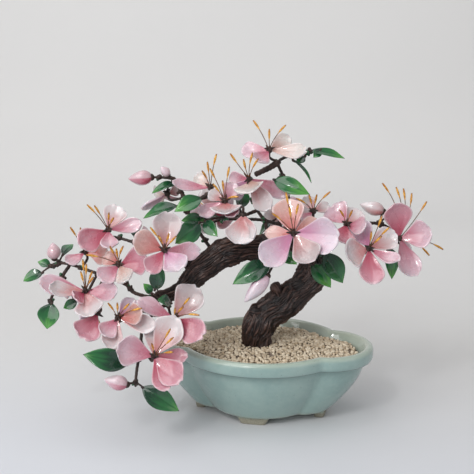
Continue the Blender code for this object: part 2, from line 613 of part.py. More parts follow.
def build_pot(material, root):
    """Bowl with a rounded rim band, and a bracket foot under each lobe."""
    top = POT_HEIGHT
    band = POT_HEIGHT - RIM_BAND
    body = [(FOOT_HEIGHT, 5, BASE_SCALE), (FOOT_HEIGHT + 3, 5, BASE_SCALE + 0.05), (24, 5, 0.84),
            (38, 5, 0.94), (band - 0.5, 5, 0.985)]
    rim = [(band + 0.5, 1.0, 1), (band + 3, 0, 1), (top - 3, 0, 1), (top - 0.8, 1.4, 1), (top, 3.8, 1),
           (top - 0.8, 6.2, 1), (top - 3, WALL + 0.8, 1)]
    inside = [(height, *inner_wall(height)) for height in (band, 30, GRAVEL_FLOOR - 1)]
    rings = [pot_ring(inset, scale, height) for height, inset, scale in body + rim + inside]
    feet = []
    turned = Matrix.Rotation(POT_TURN, 3, "Z")
    half_width, half_depth = FOOT_WIDTH / 2, FOOT_THICKNESS / 2
    end_foot = (POT_LENGTH / 2 - 5) * BASE_SCALE - half_depth - 1.5
    side_foot = (POT_DEPTH / 2 - 5) * BASE_SCALE - half_depth - 1.5
    for x, y, along in ((0, side_foot, 0), (0, -side_foot, 0), (end_foot, 0, 90), (-end_foot, 0, 90)):
        spin = turned @ Matrix.Rotation(math.radians(along), 3, "Z")
        levels = []
        for height, share in ((0.0, 0.76), (FOOT_HEIGHT - 1.5, 0.9), (FOOT_HEIGHT + 1, 1.0)):
            corners = [(-1, -1), (1, -1), (1, 1), (-1, 1)]
            levels.append([turned @ Vector((x, y, 0)) + Vector((0, 0, height + TABLE))
                           + spin @ Vector((i * half_width * share, j * half_depth, 0))
                           for i, j in corners])
        feet.append(stacked(levels))
    return fuse("pot", [stacked(rings)] + feet, material, root)


def build_gravel(material, root, trunk_foot):
    """Gravel with an uneven, slightly mounded top, and the hole that the trunk stands in."""
    random.seed(7)
    rings = []
    band_foot = POT_HEIGHT - RIM_BAND
    for height in (GRAVEL_FLOOR, 30, band_foot):
        inset, scale = inner_wall(height)
        rings.append(pot_ring(inset + GAP + 0.1, scale, height))
    for share in (1.0, 0.92, 0.82, 0.7, 0.58, 0.46, 0.33):
        inset, scale = inner_wall(GRAVEL_EDGE)
        height = GRAVEL_EDGE + GRAVEL_MOUND * (1 - share ** 2)
        ring = pot_ring(inset + GAP + 0.1, scale * share, height)
        loose = 0.0 if share == 1.0 else GRAIN
        rings.append([point + Vector([random.uniform(-loose, loose) for _ in range(3)])
                      for point in ring])
    gravel = make_object("gravel", stacked(rings), material, root)
    combine(gravel, [make_object("gravel_hole", trunk_foot, material)], "DIFFERENCE")
    return gravel


# The trunk

def trunk_line(steps=TRUNK_STEPS):
    """Points along the trunk's middle line and the radius at each."""
    path = smooth([place for place, _ in TRUNK], steps)
    widths = smooth([(radius, 0, 0) for _, radius in TRUNK], steps)
    return path, [width.x for width in widths]


def lumpy(radii):
    """Radii with slow swellings, as bark has."""
    return [radius * (1 + 0.06 * math.sin(1.7 * k) + 0.04 * math.sin(0.6 * k + 1))
            for k, radius in enumerate(radii)]


def build_trunk(material, root, sockets):
    """Trunk with bark grooves and cut stubs, and a plain socket for each spray."""
    path, radii = trunk_line()
    shapes = [tube(path, lumpy(radii), TRUNK_SIDES, TRUNK_TWIST, BARK_DEPTH)]
    for start, end, thick, thin in STUBS:
        start, end = Vector(start), Vector(end)
        shapes.append(tube([start, start.lerp(end, 0.6), end], [thick, thick * 0.9, thin], STUB_SIDES))
    trunk = fuse("trunk", shapes, material, root)
    holes = [make_object("socket", shape, material) for shape in sockets]
    combine(trunk, holes, "DIFFERENCE")
    return trunk, shapes


# The sprays and the blooms

def root_peg(spray, extra=0.0):
    """Straight foot of a spray, from inside the trunk to clear of its bark."""
    inside, outside = (Vector(point) for point in spray["root"])
    along = (outside - inside).normalized()
    return tube([inside - along * extra, outside + along * extra * 4], [TWIG + extra] * 2, TWIG_SIDES)


def spray_wires(spray):
    """The twigs, stalks and leaf stems of a spray, its foot first."""
    shapes = [root_peg(spray)]
    for points in spray["twigs"]:
        path = smooth(points, 1)
        radii = [TWIG - 0.35 * k / (len(path) - 1) for k in range(len(path))]
        shapes.append(tube(path, radii, TWIG_SIDES))
    for bloom, points in spray["stalks"].items():
        hub, look = BLOOMS[bloom][:2]
        axis = facing(*look)
        end = Vector(hub) - axis * (HUB_BACK + GAP)
        path = [Vector(point) for point in points] + [end - axis * STALK_STRAIGHT, end]
        shapes.append(tube(path, [STALK] * len(path), STALK_SIDES))
    for joint, base, tip, *_ in spray["leaves"]:
        along = (Vector(tip) - Vector(base)).normalized()
        ends = [Vector(joint), Vector(base) + along * STEM_SUNK]
        shapes.append(tube(ends, LEAF_STEM, STEM_SIDES))
    for joint, base, tip, _ in spray["buds"]:
        along = (Vector(tip) - Vector(base)).normalized()
        ends = [Vector(joint), Vector(base) + along * STEM_SUNK]
        shapes.append(tube(ends, BUD_STEM, STEM_SIDES))
    return shapes


def spray_leaf(entry, swing, opening, share, extra):
    """A leaf turned about its base by the swing and the opening."""
    _, base, tip, roll, width = entry
    base, tip = Vector(base), Vector(tip)
    along = (tip - base).normalized()
    level = along.cross(UP).normalized()
    turned = Matrix.Rotation(math.radians(swing), 3, UP) @ Matrix.Rotation(math.radians(opening), 3, level)
    return leaf_shape(base, base + turned @ (tip - base) * share, roll, width * share,
                      LEAF_THICKNESS + extra)


def build_tree(materials, root):
    """Trunk, sprays and blooms, with every blade bent clear of the pieces round it."""
    near = Neighbours()
    sockets = [root_peg(spray, GAP + 0.1) for spray in SPRAYS.values()]
    trunk, trunk_shapes = build_trunk(materials["bark"], root, sockets)
    for shape in trunk_shapes:
        near.add("trunk", shape)
    near.add("pot", stacked([pot_ring(0, BASE_SCALE, 0), pot_ring(0, 0.95, 36), pot_ring(0, 1, 50),
                             pot_ring(0, 1, POT_HEIGHT)]))
    bodies = {}
    for name, spray in SPRAYS.items():
        bodies[name] = spray_wires(spray)
        for shape in bodies[name]:
            near.add(name, shape)
        for _, base, tip, radius in spray["buds"]:
            bud = bud_shape(Vector(base), Vector(tip), radius)
            bodies[name].append(bud)
            near.add(name, bud, carrier=False)
    for name, (hub, look, _, _) in BLOOMS.items():
        axis = facing(*look)
        hub = Vector(hub)
        ends = [hub - axis * HUB_BACK, hub, hub + axis * HUB_FRONT]
        foot = [hub + axis * (HUB_FRONT + GAP), hub + axis * (HUB_FRONT + GAP + 1.5)]
        bodies[name + "_petals"] = [tube(ends, [HUB_BACK_RADIUS, HUB_RADIUS, HUB_RADIUS - 0.6], HUB_SIDES)]
        bodies[name + "_stamens"] = [tube(foot, STAMEN_FOOT, HUB_SIDES)]
        for node in (name + "_petals", name + "_stamens"):
            near.add(node, bodies[node][0])
    left_out = []
    for name, (hub, look, petals, _) in BLOOMS.items():
        axis = facing(*look)
        for angle, opening, length, width, roll in petals:
            def petal_at(swing, more, share, extra):
                return petal_shape(Vector(hub), axis, angle + swing, opening + more, length * share,
                                   width * share, roll, PETAL_THICKNESS + extra)
            shape = near.settle(name + "_petals", petal_at)
            if shape:
                bodies[name + "_petals"].append(shape)
            else:
                left_out.append((name, "petal", angle))
    for name, spray in SPRAYS.items():
        for entry in spray["leaves"]:
            def leaf_at(swing, more, share, extra):
                return spray_leaf(entry, swing, more, share, extra)
            shape = near.settle(name, leaf_at)
            if shape:
                bodies[name].append(shape)
            else:
                left_out.append((name, "leaf", entry[2]))
    for name, (hub, look, _, stamens) in BLOOMS.items():
        axis = facing(*look)
        foot = Vector(hub) + axis * (HUB_FRONT + GAP + 0.6)
        for k, (angle, tilt, length) in enumerate(stamens):
            def filament_at(swing, more, share, extra):
                return filament_shape(foot, axis, angle + swing, max(4, tilt + more), length * share,
                                      FILAMENT_STARTS[k % 3], extra)
            shape = near.settle(name + "_stamens", filament_at, carrier=True)
            if shape:
                bodies[name + "_stamens"].append(shape)
            else:
                left_out.append((name, "stamen", angle))
    for name, shapes in bodies.items():
        kind = "petal" if name.endswith("petals") else "stamen" if name.endswith("stamens") else "leaf"
        fuse(name, shapes, materials[kind], root)
    return left_out


def centre_on_floor(root):
    """Turn the pot's length onto X, centre the whole box over the origin and stand it on the floor."""
    root.rotation_euler = (0.0, 0.0, -POT_TURN)
    bpy.context.view_layer.update()
    corners = [thing.matrix_world @ vertex.co for thing in root.children for vertex in thing.data.vertices]
    low = [min(corner[k] for corner in corners) for k in range(3)]
    high = [max(corner[k] for corner in corners) for k in range(3)]
    root.location = Vector(root.location) - Vector(((low[0] + high[0]) / 2, (low[1] + high[1]) / 2, low[2]))


def main():
    for thing in list(bpy.data.objects):
        bpy.data.objects.remove(thing)
    materials = {
        "glaze": make_material("glaze", (0.50, 0.62, 0.57), 0.15),
        "gravel": make_material("gravel", (0.72, 0.64, 0.52), 0.9),
        "bark": make_material("bark", (0.10, 0.06, 0.05), 0.6),
        "leaf": make_material("leaf", (0.05, 0.25, 0.08), 0.1),
        "petal": make_material("petal", (0.85, 0.50, 0.55), 0.1),
        "stamen": make_material("stamen", (0.70, 0.42, 0.08), 0.3),
    }
    root = bpy.data.objects.new("tree_frame", None)
    bpy.context.scene.collection.objects.link(root)
    path, radii = trunk_line()
    count = 2 * TRUNK_STEPS
    foot_path = [path[0] - Vector((0, 0, GAP))] + path[1:count]
    foot_radii = [radius + GAP + 0.1 for radius in lumpy(radii)[:count]]
    trunk_foot = tube(foot_path, foot_radii, TRUNK_SIDES, TRUNK_TWIST, BARK_DEPTH)
    build_pot(materials["glaze"], root)
    build_gravel(materials["gravel"], root, trunk_foot)
    left_out = build_tree(materials, root)
    for node, kind, where in left_out:
        print("no clear place:", node, kind, where)
    centre_on_floor(root)


main()
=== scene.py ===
import math
import random

import bmesh
import bpy
from mathutils import Matrix, Vector, noise


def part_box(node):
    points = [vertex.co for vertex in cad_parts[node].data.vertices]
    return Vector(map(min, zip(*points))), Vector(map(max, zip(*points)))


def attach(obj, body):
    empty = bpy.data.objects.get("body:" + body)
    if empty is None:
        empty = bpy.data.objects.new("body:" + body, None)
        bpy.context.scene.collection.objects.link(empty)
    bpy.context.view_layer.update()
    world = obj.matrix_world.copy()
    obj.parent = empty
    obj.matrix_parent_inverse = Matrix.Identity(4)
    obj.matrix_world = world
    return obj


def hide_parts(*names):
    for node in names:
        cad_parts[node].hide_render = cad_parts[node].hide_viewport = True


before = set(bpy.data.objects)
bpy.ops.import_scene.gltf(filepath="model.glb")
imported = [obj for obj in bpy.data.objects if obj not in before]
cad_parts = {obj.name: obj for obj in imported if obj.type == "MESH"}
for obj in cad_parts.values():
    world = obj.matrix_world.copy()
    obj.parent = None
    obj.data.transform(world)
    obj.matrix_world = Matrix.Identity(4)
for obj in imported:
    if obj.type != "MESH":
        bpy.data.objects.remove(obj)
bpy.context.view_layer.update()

# Looks of the ornamental cherry blossom bonsai. Places and sizes are in millimetres in the tree frame: x to
# the right and y away from the side that the tree shows best, z up, with the origin under the middle of the
# pot. The layout and the small bends are the solids' own, so each fine piece lies where its solid does.
MM = 0.001
GAP = 0.3
UP = Vector((0.0, 0.0, 1.0))
ROOT = "root"

# The table lies a little above the tree frame's origin
TABLE = 3.0

# The pot: a plan of four lobes, on four bracket feet, with heights above the table
POT_LENGTH = 190.0
POT_DEPTH = 132.0
POT_HEIGHT = 63.0
POT_TURN = math.radians(-12.5)
NOTCH_X = 57.0
NOTCH_Y = 40.0
END_STEPS = 30
SIDE_STEPS = 40
FOOT_HEIGHT = 6.0
FOOT_WIDTH = 29.0
FOOT_THICKNESS = 9.0
BASE_SCALE = 0.64
RIM_BAND = 12.0
WALL = 7.0

# The gravel that fills it
GRAVEL_EDGE = 57.0
GRAVEL_MOUND = 4.0
GRAVEL_FLOOR = 14.0

# The trunk: where its middle line runs, and its radius there
TRUNK = [
    ((-4, -4, 45), 11.0), ((-4, -4, 62), 11.7), ((-4, -4, 75), 12.5), ((3, -3, 87), 13.8),
    ((16, -2, 97), 12.9), ((31, 0, 108), 11.7), ((41, 2, 120), 11.3), ((45, 3, 134), 10.8),
    ((39, 3, 147), 10.4), ((23, 2, 152), 10.4), ((2, 0, 146), 10.0), ((-17, -4, 146), 10.0),
    ((-33, -8, 142), 10.8), ((-49, -14, 132), 10.4), ((-62, -20, 121), 7.5), ((-75, -26, 113), 4.7),
    ((-88, -31, 112), 3.7),
]
STUBS = [
    ((5, -4, 90), (-11, -9, 93), 7.6, 5.6),
    ((19, -3, 100), (9, -8, 117), 5.6, 4.0),
    ((-32, -7, 144), (-39, -8, 154), 6.0, 4.4),
    ((-54, -13, 131), (-62, -14, 141), 5.6, 3.6),
]

# Wire, hubs and stamens
TWIG = 1.5
STALK = 1.1
STALK_STRAIGHT = 5.0
TWIG_TAPER = 0.35
LEAF_STEM = (0.95, 0.6)
BUD_STEM = 1.0
LEAF_SUNK = 2.5
BUD_SUNK = 1.5
HUB_BACK = 3.0
HUB_FRONT = 1.0
HUB_RADIUS = 3.2
FILAMENT_STARTS = (1.1, 0.35, 0.75)
FILAMENT_SUNK = 1.5

# Glass
PETAL_START = 2.0
PETAL_BEND = math.radians(34)
PETAL_CUP = 0.028
LEAF_BEND = math.radians(-30)
LEAF_FOLD = 0.28

# Each bloom: hub, (turn, rise) that it faces, petals as (angle, opening, length, width, roll) and stamens as
# (angle, tilt, length). Turn 0 faces the front, and angles run anticlockwise from the right, seen from where
# the bloom faces. Roll turns a petal about its rib, 0 for a cupped face towards the bloom's axis.
BLOOMS = {
    "bloom_01": ((-127, -10, 164), (-6, 54),
                 [(78, 81, 23, 20, 10), (33, 92, 27, 13, 24), (-138, 86, 28, 21, -37),
                  (-100, 86, 20, 15, -8)],
                 [(156, 36, 25), (157, 19, 24), (18, 9, 17), (-16, 23, 16)]),
    "bloom_02": ((-148, 0, 143), (-18, 66),
                 [(-116, 87, 20, 13, -14), (-8, 87, 24, 18, 52), (88, 89, 18, 16, 14)],
                 [(-168, 14, 24), (-26, 1, 23), (17, 19, 20)]),
    "bloom_03": ((-117, -28, 139), (-30, 51),
                 [(-104, 76, 21, 17, -37), (-42, 90, 22, 16, 3), (21, 85, 26, 23, 44),
                  (159, 92, 18, 14, -14)],
                 [(96, 3, 18), (42, 35, 17), (-149, 42, 26), (53, 15, 14)]),
    "bloom_04": ((-79, -36, 153), (15, 39),
                 [(163, 70, 27, 21, -25), (77, 75, 31, 23, -7), (-131, 89, 23, 16, -4),
                  (-89, 81, 24, 21, 15), (-3, 100, 29, 15, 22)],
                 [(130, 52, 20), (137, 30, 15), (24, 25, 16), (70, 26, 14)]),
    "bloom_05": ((-144, -32, 118), (12, 54),
                 [(167, 84, 38, 18, -10), (180, 78, 30, 14, -13), (-158, 69, 18, 14, -26),
                  (-23, 66, 30, 17, 32), (-83, 93, 25, 23, 18)],
                 [(97, 26, 25), (83, 22, 22), (28, 15, 19), (115, 26, 15), (-4, 19, 16)]),
    "bloom_06": ((-116, -50, 101), (9, 48),
                 [(-14, 51, 24, 17, 26), (-25, 79, 32, 15, 22), (-106, 101, 27, 17, 0),
                  (44, 97, 22, 14, 13), (-127, 87, 21, 16, -11)],
                 [(156, 25, 16), (102, 9, 15), (6, 24, 18), (1, 55, 22)]),
    "bloom_07": ((-71, -52, 101), (21, 60),
                 [(40, 64, 32, 25, 16), (-56, 85, 29, 22, 43), (128, 93, 32, 15, -14)],
                 [(-22, 17, 24), (-53, 19, 16), (-127, 12, 13), (-42, 53, 22)]),
    "bloom_08": ((-86, -68, 75), (30, 45),
                 [(155, 88, 31, 24, -35), (58, 68, 35, 25, -10), (85, 87, 26, 14, -21),
                  (-70, 75, 31, 22, 38), (15, 84, 26, 13, 12), (-88, 93, 30, 17, 26)],
                 [(45, 20, 27), (5, 17, 25), (-52, 28, 20), (147, 22, 14)]),
    "bloom_09": ((-80, 14, 190), (-147, 39),
                 [(-74, 42, 18, 16, 59), (-56, 93, 24, 12, -6), (-95, 82, 17, 15, 36),
                  (-175, 63, 18, 14, -37)],
                 [(-113, 33, 16), (-167, 41, 16)]),
    "bloom_10": ((-134, -40, 101), (-144, -36),
                 [(-44, 82, 26, 23, -167), (10, 87, 23, 21, 154)],
                 [(-141, 29, 16), (97, 4, 15)]),
    "bloom_11": ((-31, -5, 187), (-9, 54),
                 [(-78, 75, 19, 25, -1), (-130, 98, 24, 13, -17), (-44, 91, 20, 12, 13),
                  (75, 87, 18, 16, 18), (136, 93, 17, 14, -16)],
                 [(137, 28, 28), (69, 26, 28), (164, 26, 17), (99, 17, 16), (-12, 60, 13)]),
    "bloom_12": ((-11, 8, 203), (-24, 27),
                 [(-174, 110, 20, 16, -13), (-66, 54, 19, 25, -6), (-15, 129, 36, 14, 2),
                  (-51, 102, 32, 17, -9), (-138, 111, 23, 14, -17)],
                 [(130, 41, 25), (98, 39, 17), (76, 55, 21), (56, 57, 18)]),
    "bloom_13": ((6, 20, 226), (-12, 69),
                 [(177, 95, 23, 15, -40), (-109, 92, 22, 16, -23), (51, 83, 22, 15, 39),
                  (19, 99, 32, 14, 35)],
                 [(148, 35, 25), (24, 38, 23), (89, 16, 15)]),
    "bloom_14": ((-16, -24, 178), (177, -66),
                 [(-82, 62, 27, 24, 170), (-112, 65, 23, 14, -136)],
                 [(43, 16, 15), (125, 23, 15)]),
    "bloom_15": ((24, -37, 167), (-12, 48),
                 [(108, 78, 30, 25, 1), (64, 98, 24, 16, 15), (152, 95, 23, 13, -14),
                  (-132, 93, 36, 24, -30), (-53, 101, 30, 23, 10), (-6, 84, 37, 29, 35)],
                 [(107, 33, 32), (105, 30, 21), (72, 32, 23), (169, 35, 24)]),
    "bloom_16": ((42, -2, 178), (-3, 66),
                 [(42, 98, 16, 10, 35), (110, 71, 15, 12, -12), (-130, 95, 15, 10, -20)],
                 [(-173, 46, 17), (174, 13, 14), (3, 7, 14), (7, 36, 20)]),
    "bloom_17": ((69, -10, 169), (15, 57),
                 [(109, 92, 21, 23, -24), (-116, 97, 22, 20, -4), (-60, 66, 19, 17, 31),
                  (65, 84, 20, 17, 2)],
                 [(175, 29, 15), (-79, 7, 15)]),
    "bloom_18": ((86, -26, 152), (15, 42),
                 [(-165, 81, 24, 24, -23), (-96, 96, 31, 20, 11), (107, 91, 27, 20, -19),
                  (46, 84, 27, 20, 7), (-47, 73, 27, 12, 6)],
                 [(65, 34, 27), (28, 34, 23), (98, 24, 14), (22, 28, 13)]),
    "bloom_19": ((115, -2, 155), (129, 24),
                 [(88, 73, 31, 24, -121), (177, 54, 27, 23, 145), (-121, 112, 34, 20, 102)],
                 [(54, 68, 46), (67, 57, 41), (76, 52, 39), (85, 43, 36), (104, 22, 37), (-125, 49, 38),
                  (-114, 61, 29)]),
    "bloom_20": ((24, 42, 158), (178, 12),
                 [(90, 68, 23, 19, 0), (18, 68, 24, 20, 0), (-54, 68, 23, 19, 0), (-126, 68, 22, 18, 0),
                  (162, 68, 24, 20, 0)],
                 [(60, 28, 22), (105, 30, 20), (150, 28, 22)]),
    "bloom_21": ((-42, 38, 168), (195, 5),
                 [(80, 68, 22, 18, 0), (8, 68, 23, 19, 0), (-64, 68, 22, 18, 0), (-136, 68, 23, 19, 0),
                  (152, 68, 22, 18, 0)],
                 [(70, 28, 20), (120, 30, 20), (30, 30, 19)]),
    "bloom_22": ((-43, 4, 197), (-15, 72),
                 [(143, 79, 19, 13, -28), (165, 77, 32, 10, -41)],
                 [(113, 11, 19), (56, 20, 26), (-130, 19, 16)]),
}

# Each spray: its root (a point on the trunk's middle line and one clear of the bark), its twigs, the joint
# that each bloom's stalk starts from, leaves as (joint, base, tip, roll, width) and buds as (joint, base,
# tip, radius). Roll turns a leaf's upper face about its rib, 0 for a face that looks up.
SPRAYS = {
    "spray_left": {
        "root": ((-80, -28, 112), (-94, -34, 113)),
        "twigs": [[(-94, -34, 113), (-105, -34, 117), (-112, -28, 122), (-128, -20, 126), (-144, -14, 130),
                   (-160, -6, 133), (-170, -2, 133), (-177, 0, 130)],
                  [(-160, -6, 133), (-166, -14, 124), (-172, -26, 112), (-173, -30, 108)]],
        "stalks": {"bloom_02": [(-150, -11, 131)], "bloom_03": [(-108, -31, 119)],
                   "bloom_05": [(-136, -17, 128)], "bloom_10": [(-130, -19, 126), (-136, -28, 112)]},
        "leaves": [((-177, 0, 130), (-184, -4, 125), (-200, -7, 119), -40, 11),
                   ((-174, -1, 131), (-179, 6, 128), (-190, 8, 132), -30, 9),
                   ((-173, -30, 108), (-171, -36, 108), (-175, -42, 88), -25, 17),
                   ((-166, -14, 124), (-152, -28, 108), (-163, -30, 102), -75, 8),
                   ((-170, -2, 133), (-168, 6, 138), (-160, 14, 146), 10, 10)],
        "buds": [((-170, -2, 133), (-174, 0, 136), (-175, 1, 150), 5.2),
                 ((-166, -14, 124), (-162, -19, 116), (-161, -20, 107), 3.0)],
    },
    "spray_low": {
        "root": ((-68, -21, 116), (-77, -37, 108)),
        "twigs": [[(-77, -37, 108), (-86, -44, 104), (-96, -52, 92), (-98, -58, 76), (-100, -66, 64),
                   (-101, -72, 54)]],
        "stalks": {"bloom_06": [(-88, -45, 102), (-101, -42, 103)], "bloom_07": [(-77, -37, 108)],
                   "bloom_08": [(-97, -56, 80)]},
        "leaves": [((-99, -62, 70), (-108, -70, 68), (-141, -76, 79), -65, 17),
                   ((-101, -72, 54), (-95, -75, 51), (-66, -80, 33), 65, 16),
                   ((-77, -37, 108), (-74, -45, 111), (-84, -52, 116), -50, 10),
                   ((-77, -37, 108), (-87, -40, 121), (-81, -42, 143), 100, 12),
                   ((-77, -37, 108), (-90, -38, 117), (-96, -40, 126), -70, 7)],
        "buds": [((-101, -72, 54), (-107, -74, 53), (-125, -76, 58), 5.4)],
    },
    "spray_upper_left": {
        "root": ((-58, -17, 123), (-65, -16, 138)),
        "twigs": [[(-65, -16, 138), (-76, -18, 146), (-91, -16, 150), (-105, -12, 153), (-118, -8, 156)]],
        "stalks": {"bloom_01": [(-118, -8, 156)], "bloom_04": [(-76, -18, 146)]},
        "leaves": [((-105, -12, 153), (-106, -2, 156), (-112, 14, 162), 15, 12)],
        "buds": [((-91, -16, 150), (-95, -6, 154), (-99, 2, 164), 3.4)],
    },
    "spray_middle": {
        "root": ((-36, -8, 137), (-48, 2, 152)),
        "twigs": [[(-48, 2, 152), (-56, 3, 164), (-64, 4, 180), (-68, 9, 192), (-74, 14, 201),
                   (-86, 15, 203)],
                  [(-62, 4, 176), (-54, 1, 186), (-46, 0, 191)]],
        "stalks": {"bloom_09": [(-66, 6, 187)], "bloom_11": [(-46, 0, 191)],
                   "bloom_22": [(-54, 1, 186)]},
        "leaves": [((-62, 4, 176), (-70, -3, 182), (-99, -6, 173), -30, 13),
                   ((-68, 9, 192), (-72, 12, 198), (-92, 4, 192), -20, 10),
                   ((-54, 1, 186), (-50, -12, 190), (-72, -20, 181), -50, 13),
                   ((-56, 3, 164), (-52, -14, 170), (-71, -25, 155), -72, 17),
                   ((-56, 3, 164), (-47, -12, 171), (-37, -24, 161), 60, 11)],
        "buds": [((-86, 15, 203), (-92, 14, 203), (-112, 13, 202), 5.6),
                 ((-74, 14, 201), (-78, 12, 205), (-84, 8, 213), 3.4)],
    },
    "spray_crown": {
        "root": ((8, 2, 148), (2, 6, 168)),
        "twigs": [[(2, 6, 168), (-4, 8, 176), (-8, 10, 184)],
                  [(-4, 8, 176), (-16, 2, 173), (-30, 2, 172), (-46, -1, 170)]],
        "stalks": {"bloom_12": [(-8, 10, 184)], "bloom_14": [(-16, 2, 173), (-19, -8, 181)]},
        "leaves": [((-30, 2, 172), (-34, 8, 170), (-58, 22, 160), 25, 13),
                   ((-46, -1, 170), (-50, -6, 173), (-67, -10, 171), -70, 9)],
        "buds": [],
    },
    "spray_top": {
        "root": ((26, 4, 154), (23, 12, 173)),
        "twigs": [[(23, 12, 173), (22, 20, 188), (18, 26, 202), (14, 25, 214), (24, 24, 220),
                   (39, 24, 223)]],
        "stalks": {"bloom_13": [(14, 25, 214)]},
        "leaves": [((24, 24, 220), (19, 26, 223), (24, 27, 230), 30, 8),
                   ((39, 24, 223), (49, 22, 225), (43, 18, 219), -60, 7),
                   ((39, 24, 223), (41, 22, 224), (70, 19, 219), 35, 9),
                   ((24, 24, 220), (26, 16, 217), (42, 6, 200), -40, 8),
                   ((18, 26, 202), (10, 8, 202), (39, -4, 192), 65, 13),
                   ((39, 24, 223), (36, 23, 219), (29, 21, 214), -50, 8)],
        "buds": [],
    },
    "spray_front": {
        "root": ((37, 2, 150), (33, -13, 164)),
        "twigs": [[(33, -13, 164), (27, -20, 158), (20, -24, 150), (10, -28, 141)],
                  [(33, -13, 164), (40, -18, 156), (46, -20, 146)]],
        "stalks": {"bloom_15": [(27, -20, 158)], "bloom_16": [(33, -13, 164), (38, -7, 170)]},
        "leaves": [((10, -28, 141), (6, -31, 140), (-25, -38, 125), -55, 16),
                   ((20, -24, 150), (15, -27, 149), (27, -37, 141), 60, 10),
                   ((46, -20, 146), (40, -22, 137), (56, -28, 119), 50, 14),
                   ((46, -20, 146), (50, -22, 146), (66, -26, 122), 60, 17)],
        "buds": [((10, -28, 141), (4, -34, 131), (-15, -42, 111), 5.4)],
    },
    "spray_right": {
        "root": ((43, 3, 140), (64, 1, 156)),
        "twigs": [[(64, 1, 156), (72, 0, 162), (84, -2, 167), (98, 0, 166), (108, 4, 160), (112, 6, 150)]],
        "stalks": {"bloom_17": [(66, 1, 158)], "bloom_18": [(84, -2, 167), (86, -8, 160)],
                   "bloom_19": [(108, 4, 160)]},
        "leaves": [((112, 6, 150), (105, -8, 148), (118, -12, 124), -60, 12),
                   ((98, 0, 166), (104, 10, 170), (122, 22, 172), 15, 12)],
        "buds": [((112, 6, 150), (118, 12, 146), (128, 17, 140), 3.6),
                 ((98, 0, 166), (102, 8, 175), (82, 10, 181), 5.2)],
    },
    "spray_back": {
        "root": ((20, 2, 152), (14, 18, 162)),
        "twigs": [[(14, 18, 162), (18, 26, 168), (26, 34, 174)],
                  [(14, 18, 162), (0, 26, 164), (-18, 29, 164), (-34, 28, 164), (-46, 26, 160)]],
        "stalks": {"bloom_20": [(26, 34, 174)], "bloom_21": [(-34, 28, 164)]},
        "leaves": [((18, 26, 168), (10, 31, 162), (-3, 36, 145), -30, 12),
                   ((-46, 26, 160), (-54, 30, 158), (-76, 36, 148), 15, 14),
                   ((-18, 29, 164), (-20, 36, 172), (-14, 46, 190), 60, 13)],
        "buds": [((-46, 26, 160), (-52, 28, 166), (-62, 30, 178), 4.6)],
    },
}

# The petals, leaves and stamens that the solids bend clear of their neighbours, by their place in the list
# above: the swing and the opening added, in degrees, and the share of the length that is left
BENT = {
    ("bloom_01", "petal", 1): (-15, 0, 1.0), ("bloom_01", "petal", 3): (22, 6, 1.0),
    ("bloom_04", "petal", 3): (22, -10, 1.0), ("bloom_05", "petal", 2): (30, 0, 0.92),
    ("bloom_06", "petal", 3): (9, 5, 1.0), ("bloom_07", "petal", 2): (9, -7, 1.0),
    ("bloom_08", "petal", 1): (-13, -14, 1.0), ("bloom_08", "petal", 2): (-9, -7, 1.0),
    ("bloom_08", "petal", 4): (-30, 0, 1.0), ("bloom_09", "petal", 0): (0, 7, 1.0),
    ("bloom_09", "petal", 1): (22, 6, 1.0), ("bloom_09", "petal", 2): (-30, 0, 1.0),
    ("bloom_10", "petal", 1): (-20, -22, 0.6), ("bloom_11", "petal", 1): (-15, 0, 1.0),
    ("bloom_11", "petal", 2): (-15, 0, 1.0), ("bloom_11", "petal", 4): (20, -22, 0.84),
    ("bloom_12", "petal", 2): (5, 0, 1.0), ("bloom_13", "petal", 3): (-22, -10, 1.0),
    ("bloom_15", "petal", 1): (-22, 6, 1.0), ("bloom_15", "petal", 2): (22, 6, 1.0),
    ("bloom_15", "petal", 3): (5, 0, 1.0), ("bloom_17", "petal", 2): (9, -7, 1.0),
    ("bloom_17", "petal", 3): (-22, 6, 1.0), ("bloom_18", "petal", 2): (-13, 12, 1.0),
    ("bloom_18", "petal", 3): (-22, 6, 1.0), ("bloom_18", "petal", 4): (5, 0, 1.0),
    ("bloom_20", "petal", 1): (-5, 0, 1.0), ("bloom_20", "petal", 2): (-9, 5, 1.0),
    ("bloom_20", "petal", 3): (-9, 5, 1.0), ("bloom_21", "petal", 1): (-5, 0, 1.0),
    ("bloom_21", "petal", 2): (-9, 5, 1.0), ("bloom_21", "petal", 3): (-9, 5, 1.0),
    ("bloom_22", "petal", 1): (30, 0, 1.0), ("spray_top", "leaf", 0): (20, -22, 1.0),
    ("spray_right", "leaf", 0): (20, -22, 1.0), ("bloom_06", "stamen", 3): (-9, -7, 1.0),
    ("bloom_19", "stamen", 0): (5, 0, 1.0),
}
UNBENT = (0, 0, 1.0)

# The kind of glass of each petal, in the order of the bloom's list: w white with a salmon base, c cream all
# over, g greyish white, which is the white glass greyed as painted shade for petals that lie in shade, p
# pink, d deep pink, s salmon, l lilac
TONES = {
    "bloom_01": "wpdp", "bloom_02": "psp", "bloom_03": "pcds", "bloom_04": "sgdlp", "bloom_05": "pwdpw",
    "bloom_06": "swwlp", "bloom_07": "gdp", "bloom_08": "pwwddd", "bloom_09": "clpw", "bloom_10": "dl",
    "bloom_11": "wpdpw", "bloom_12": "pcpwl", "bloom_13": "ppcc", "bloom_14": "ww",
    "bloom_15": "ssslgl", "bloom_16": "wwp", "bloom_17": "pdpw", "bloom_18": "wdlwp", "bloom_19": "dpp",
    "bloom_20": "pwpdw", "bloom_21": "wpwdp", "bloom_22": "cp",
}

# A thick bare spur that leaves a spray's twig, which only the looks have
SPURS = {"spray_top": [(14, 25, 214), (4, 20, 209), (-6, 16, 205)]}
SPUR_RADII = (2.7, 2.2)

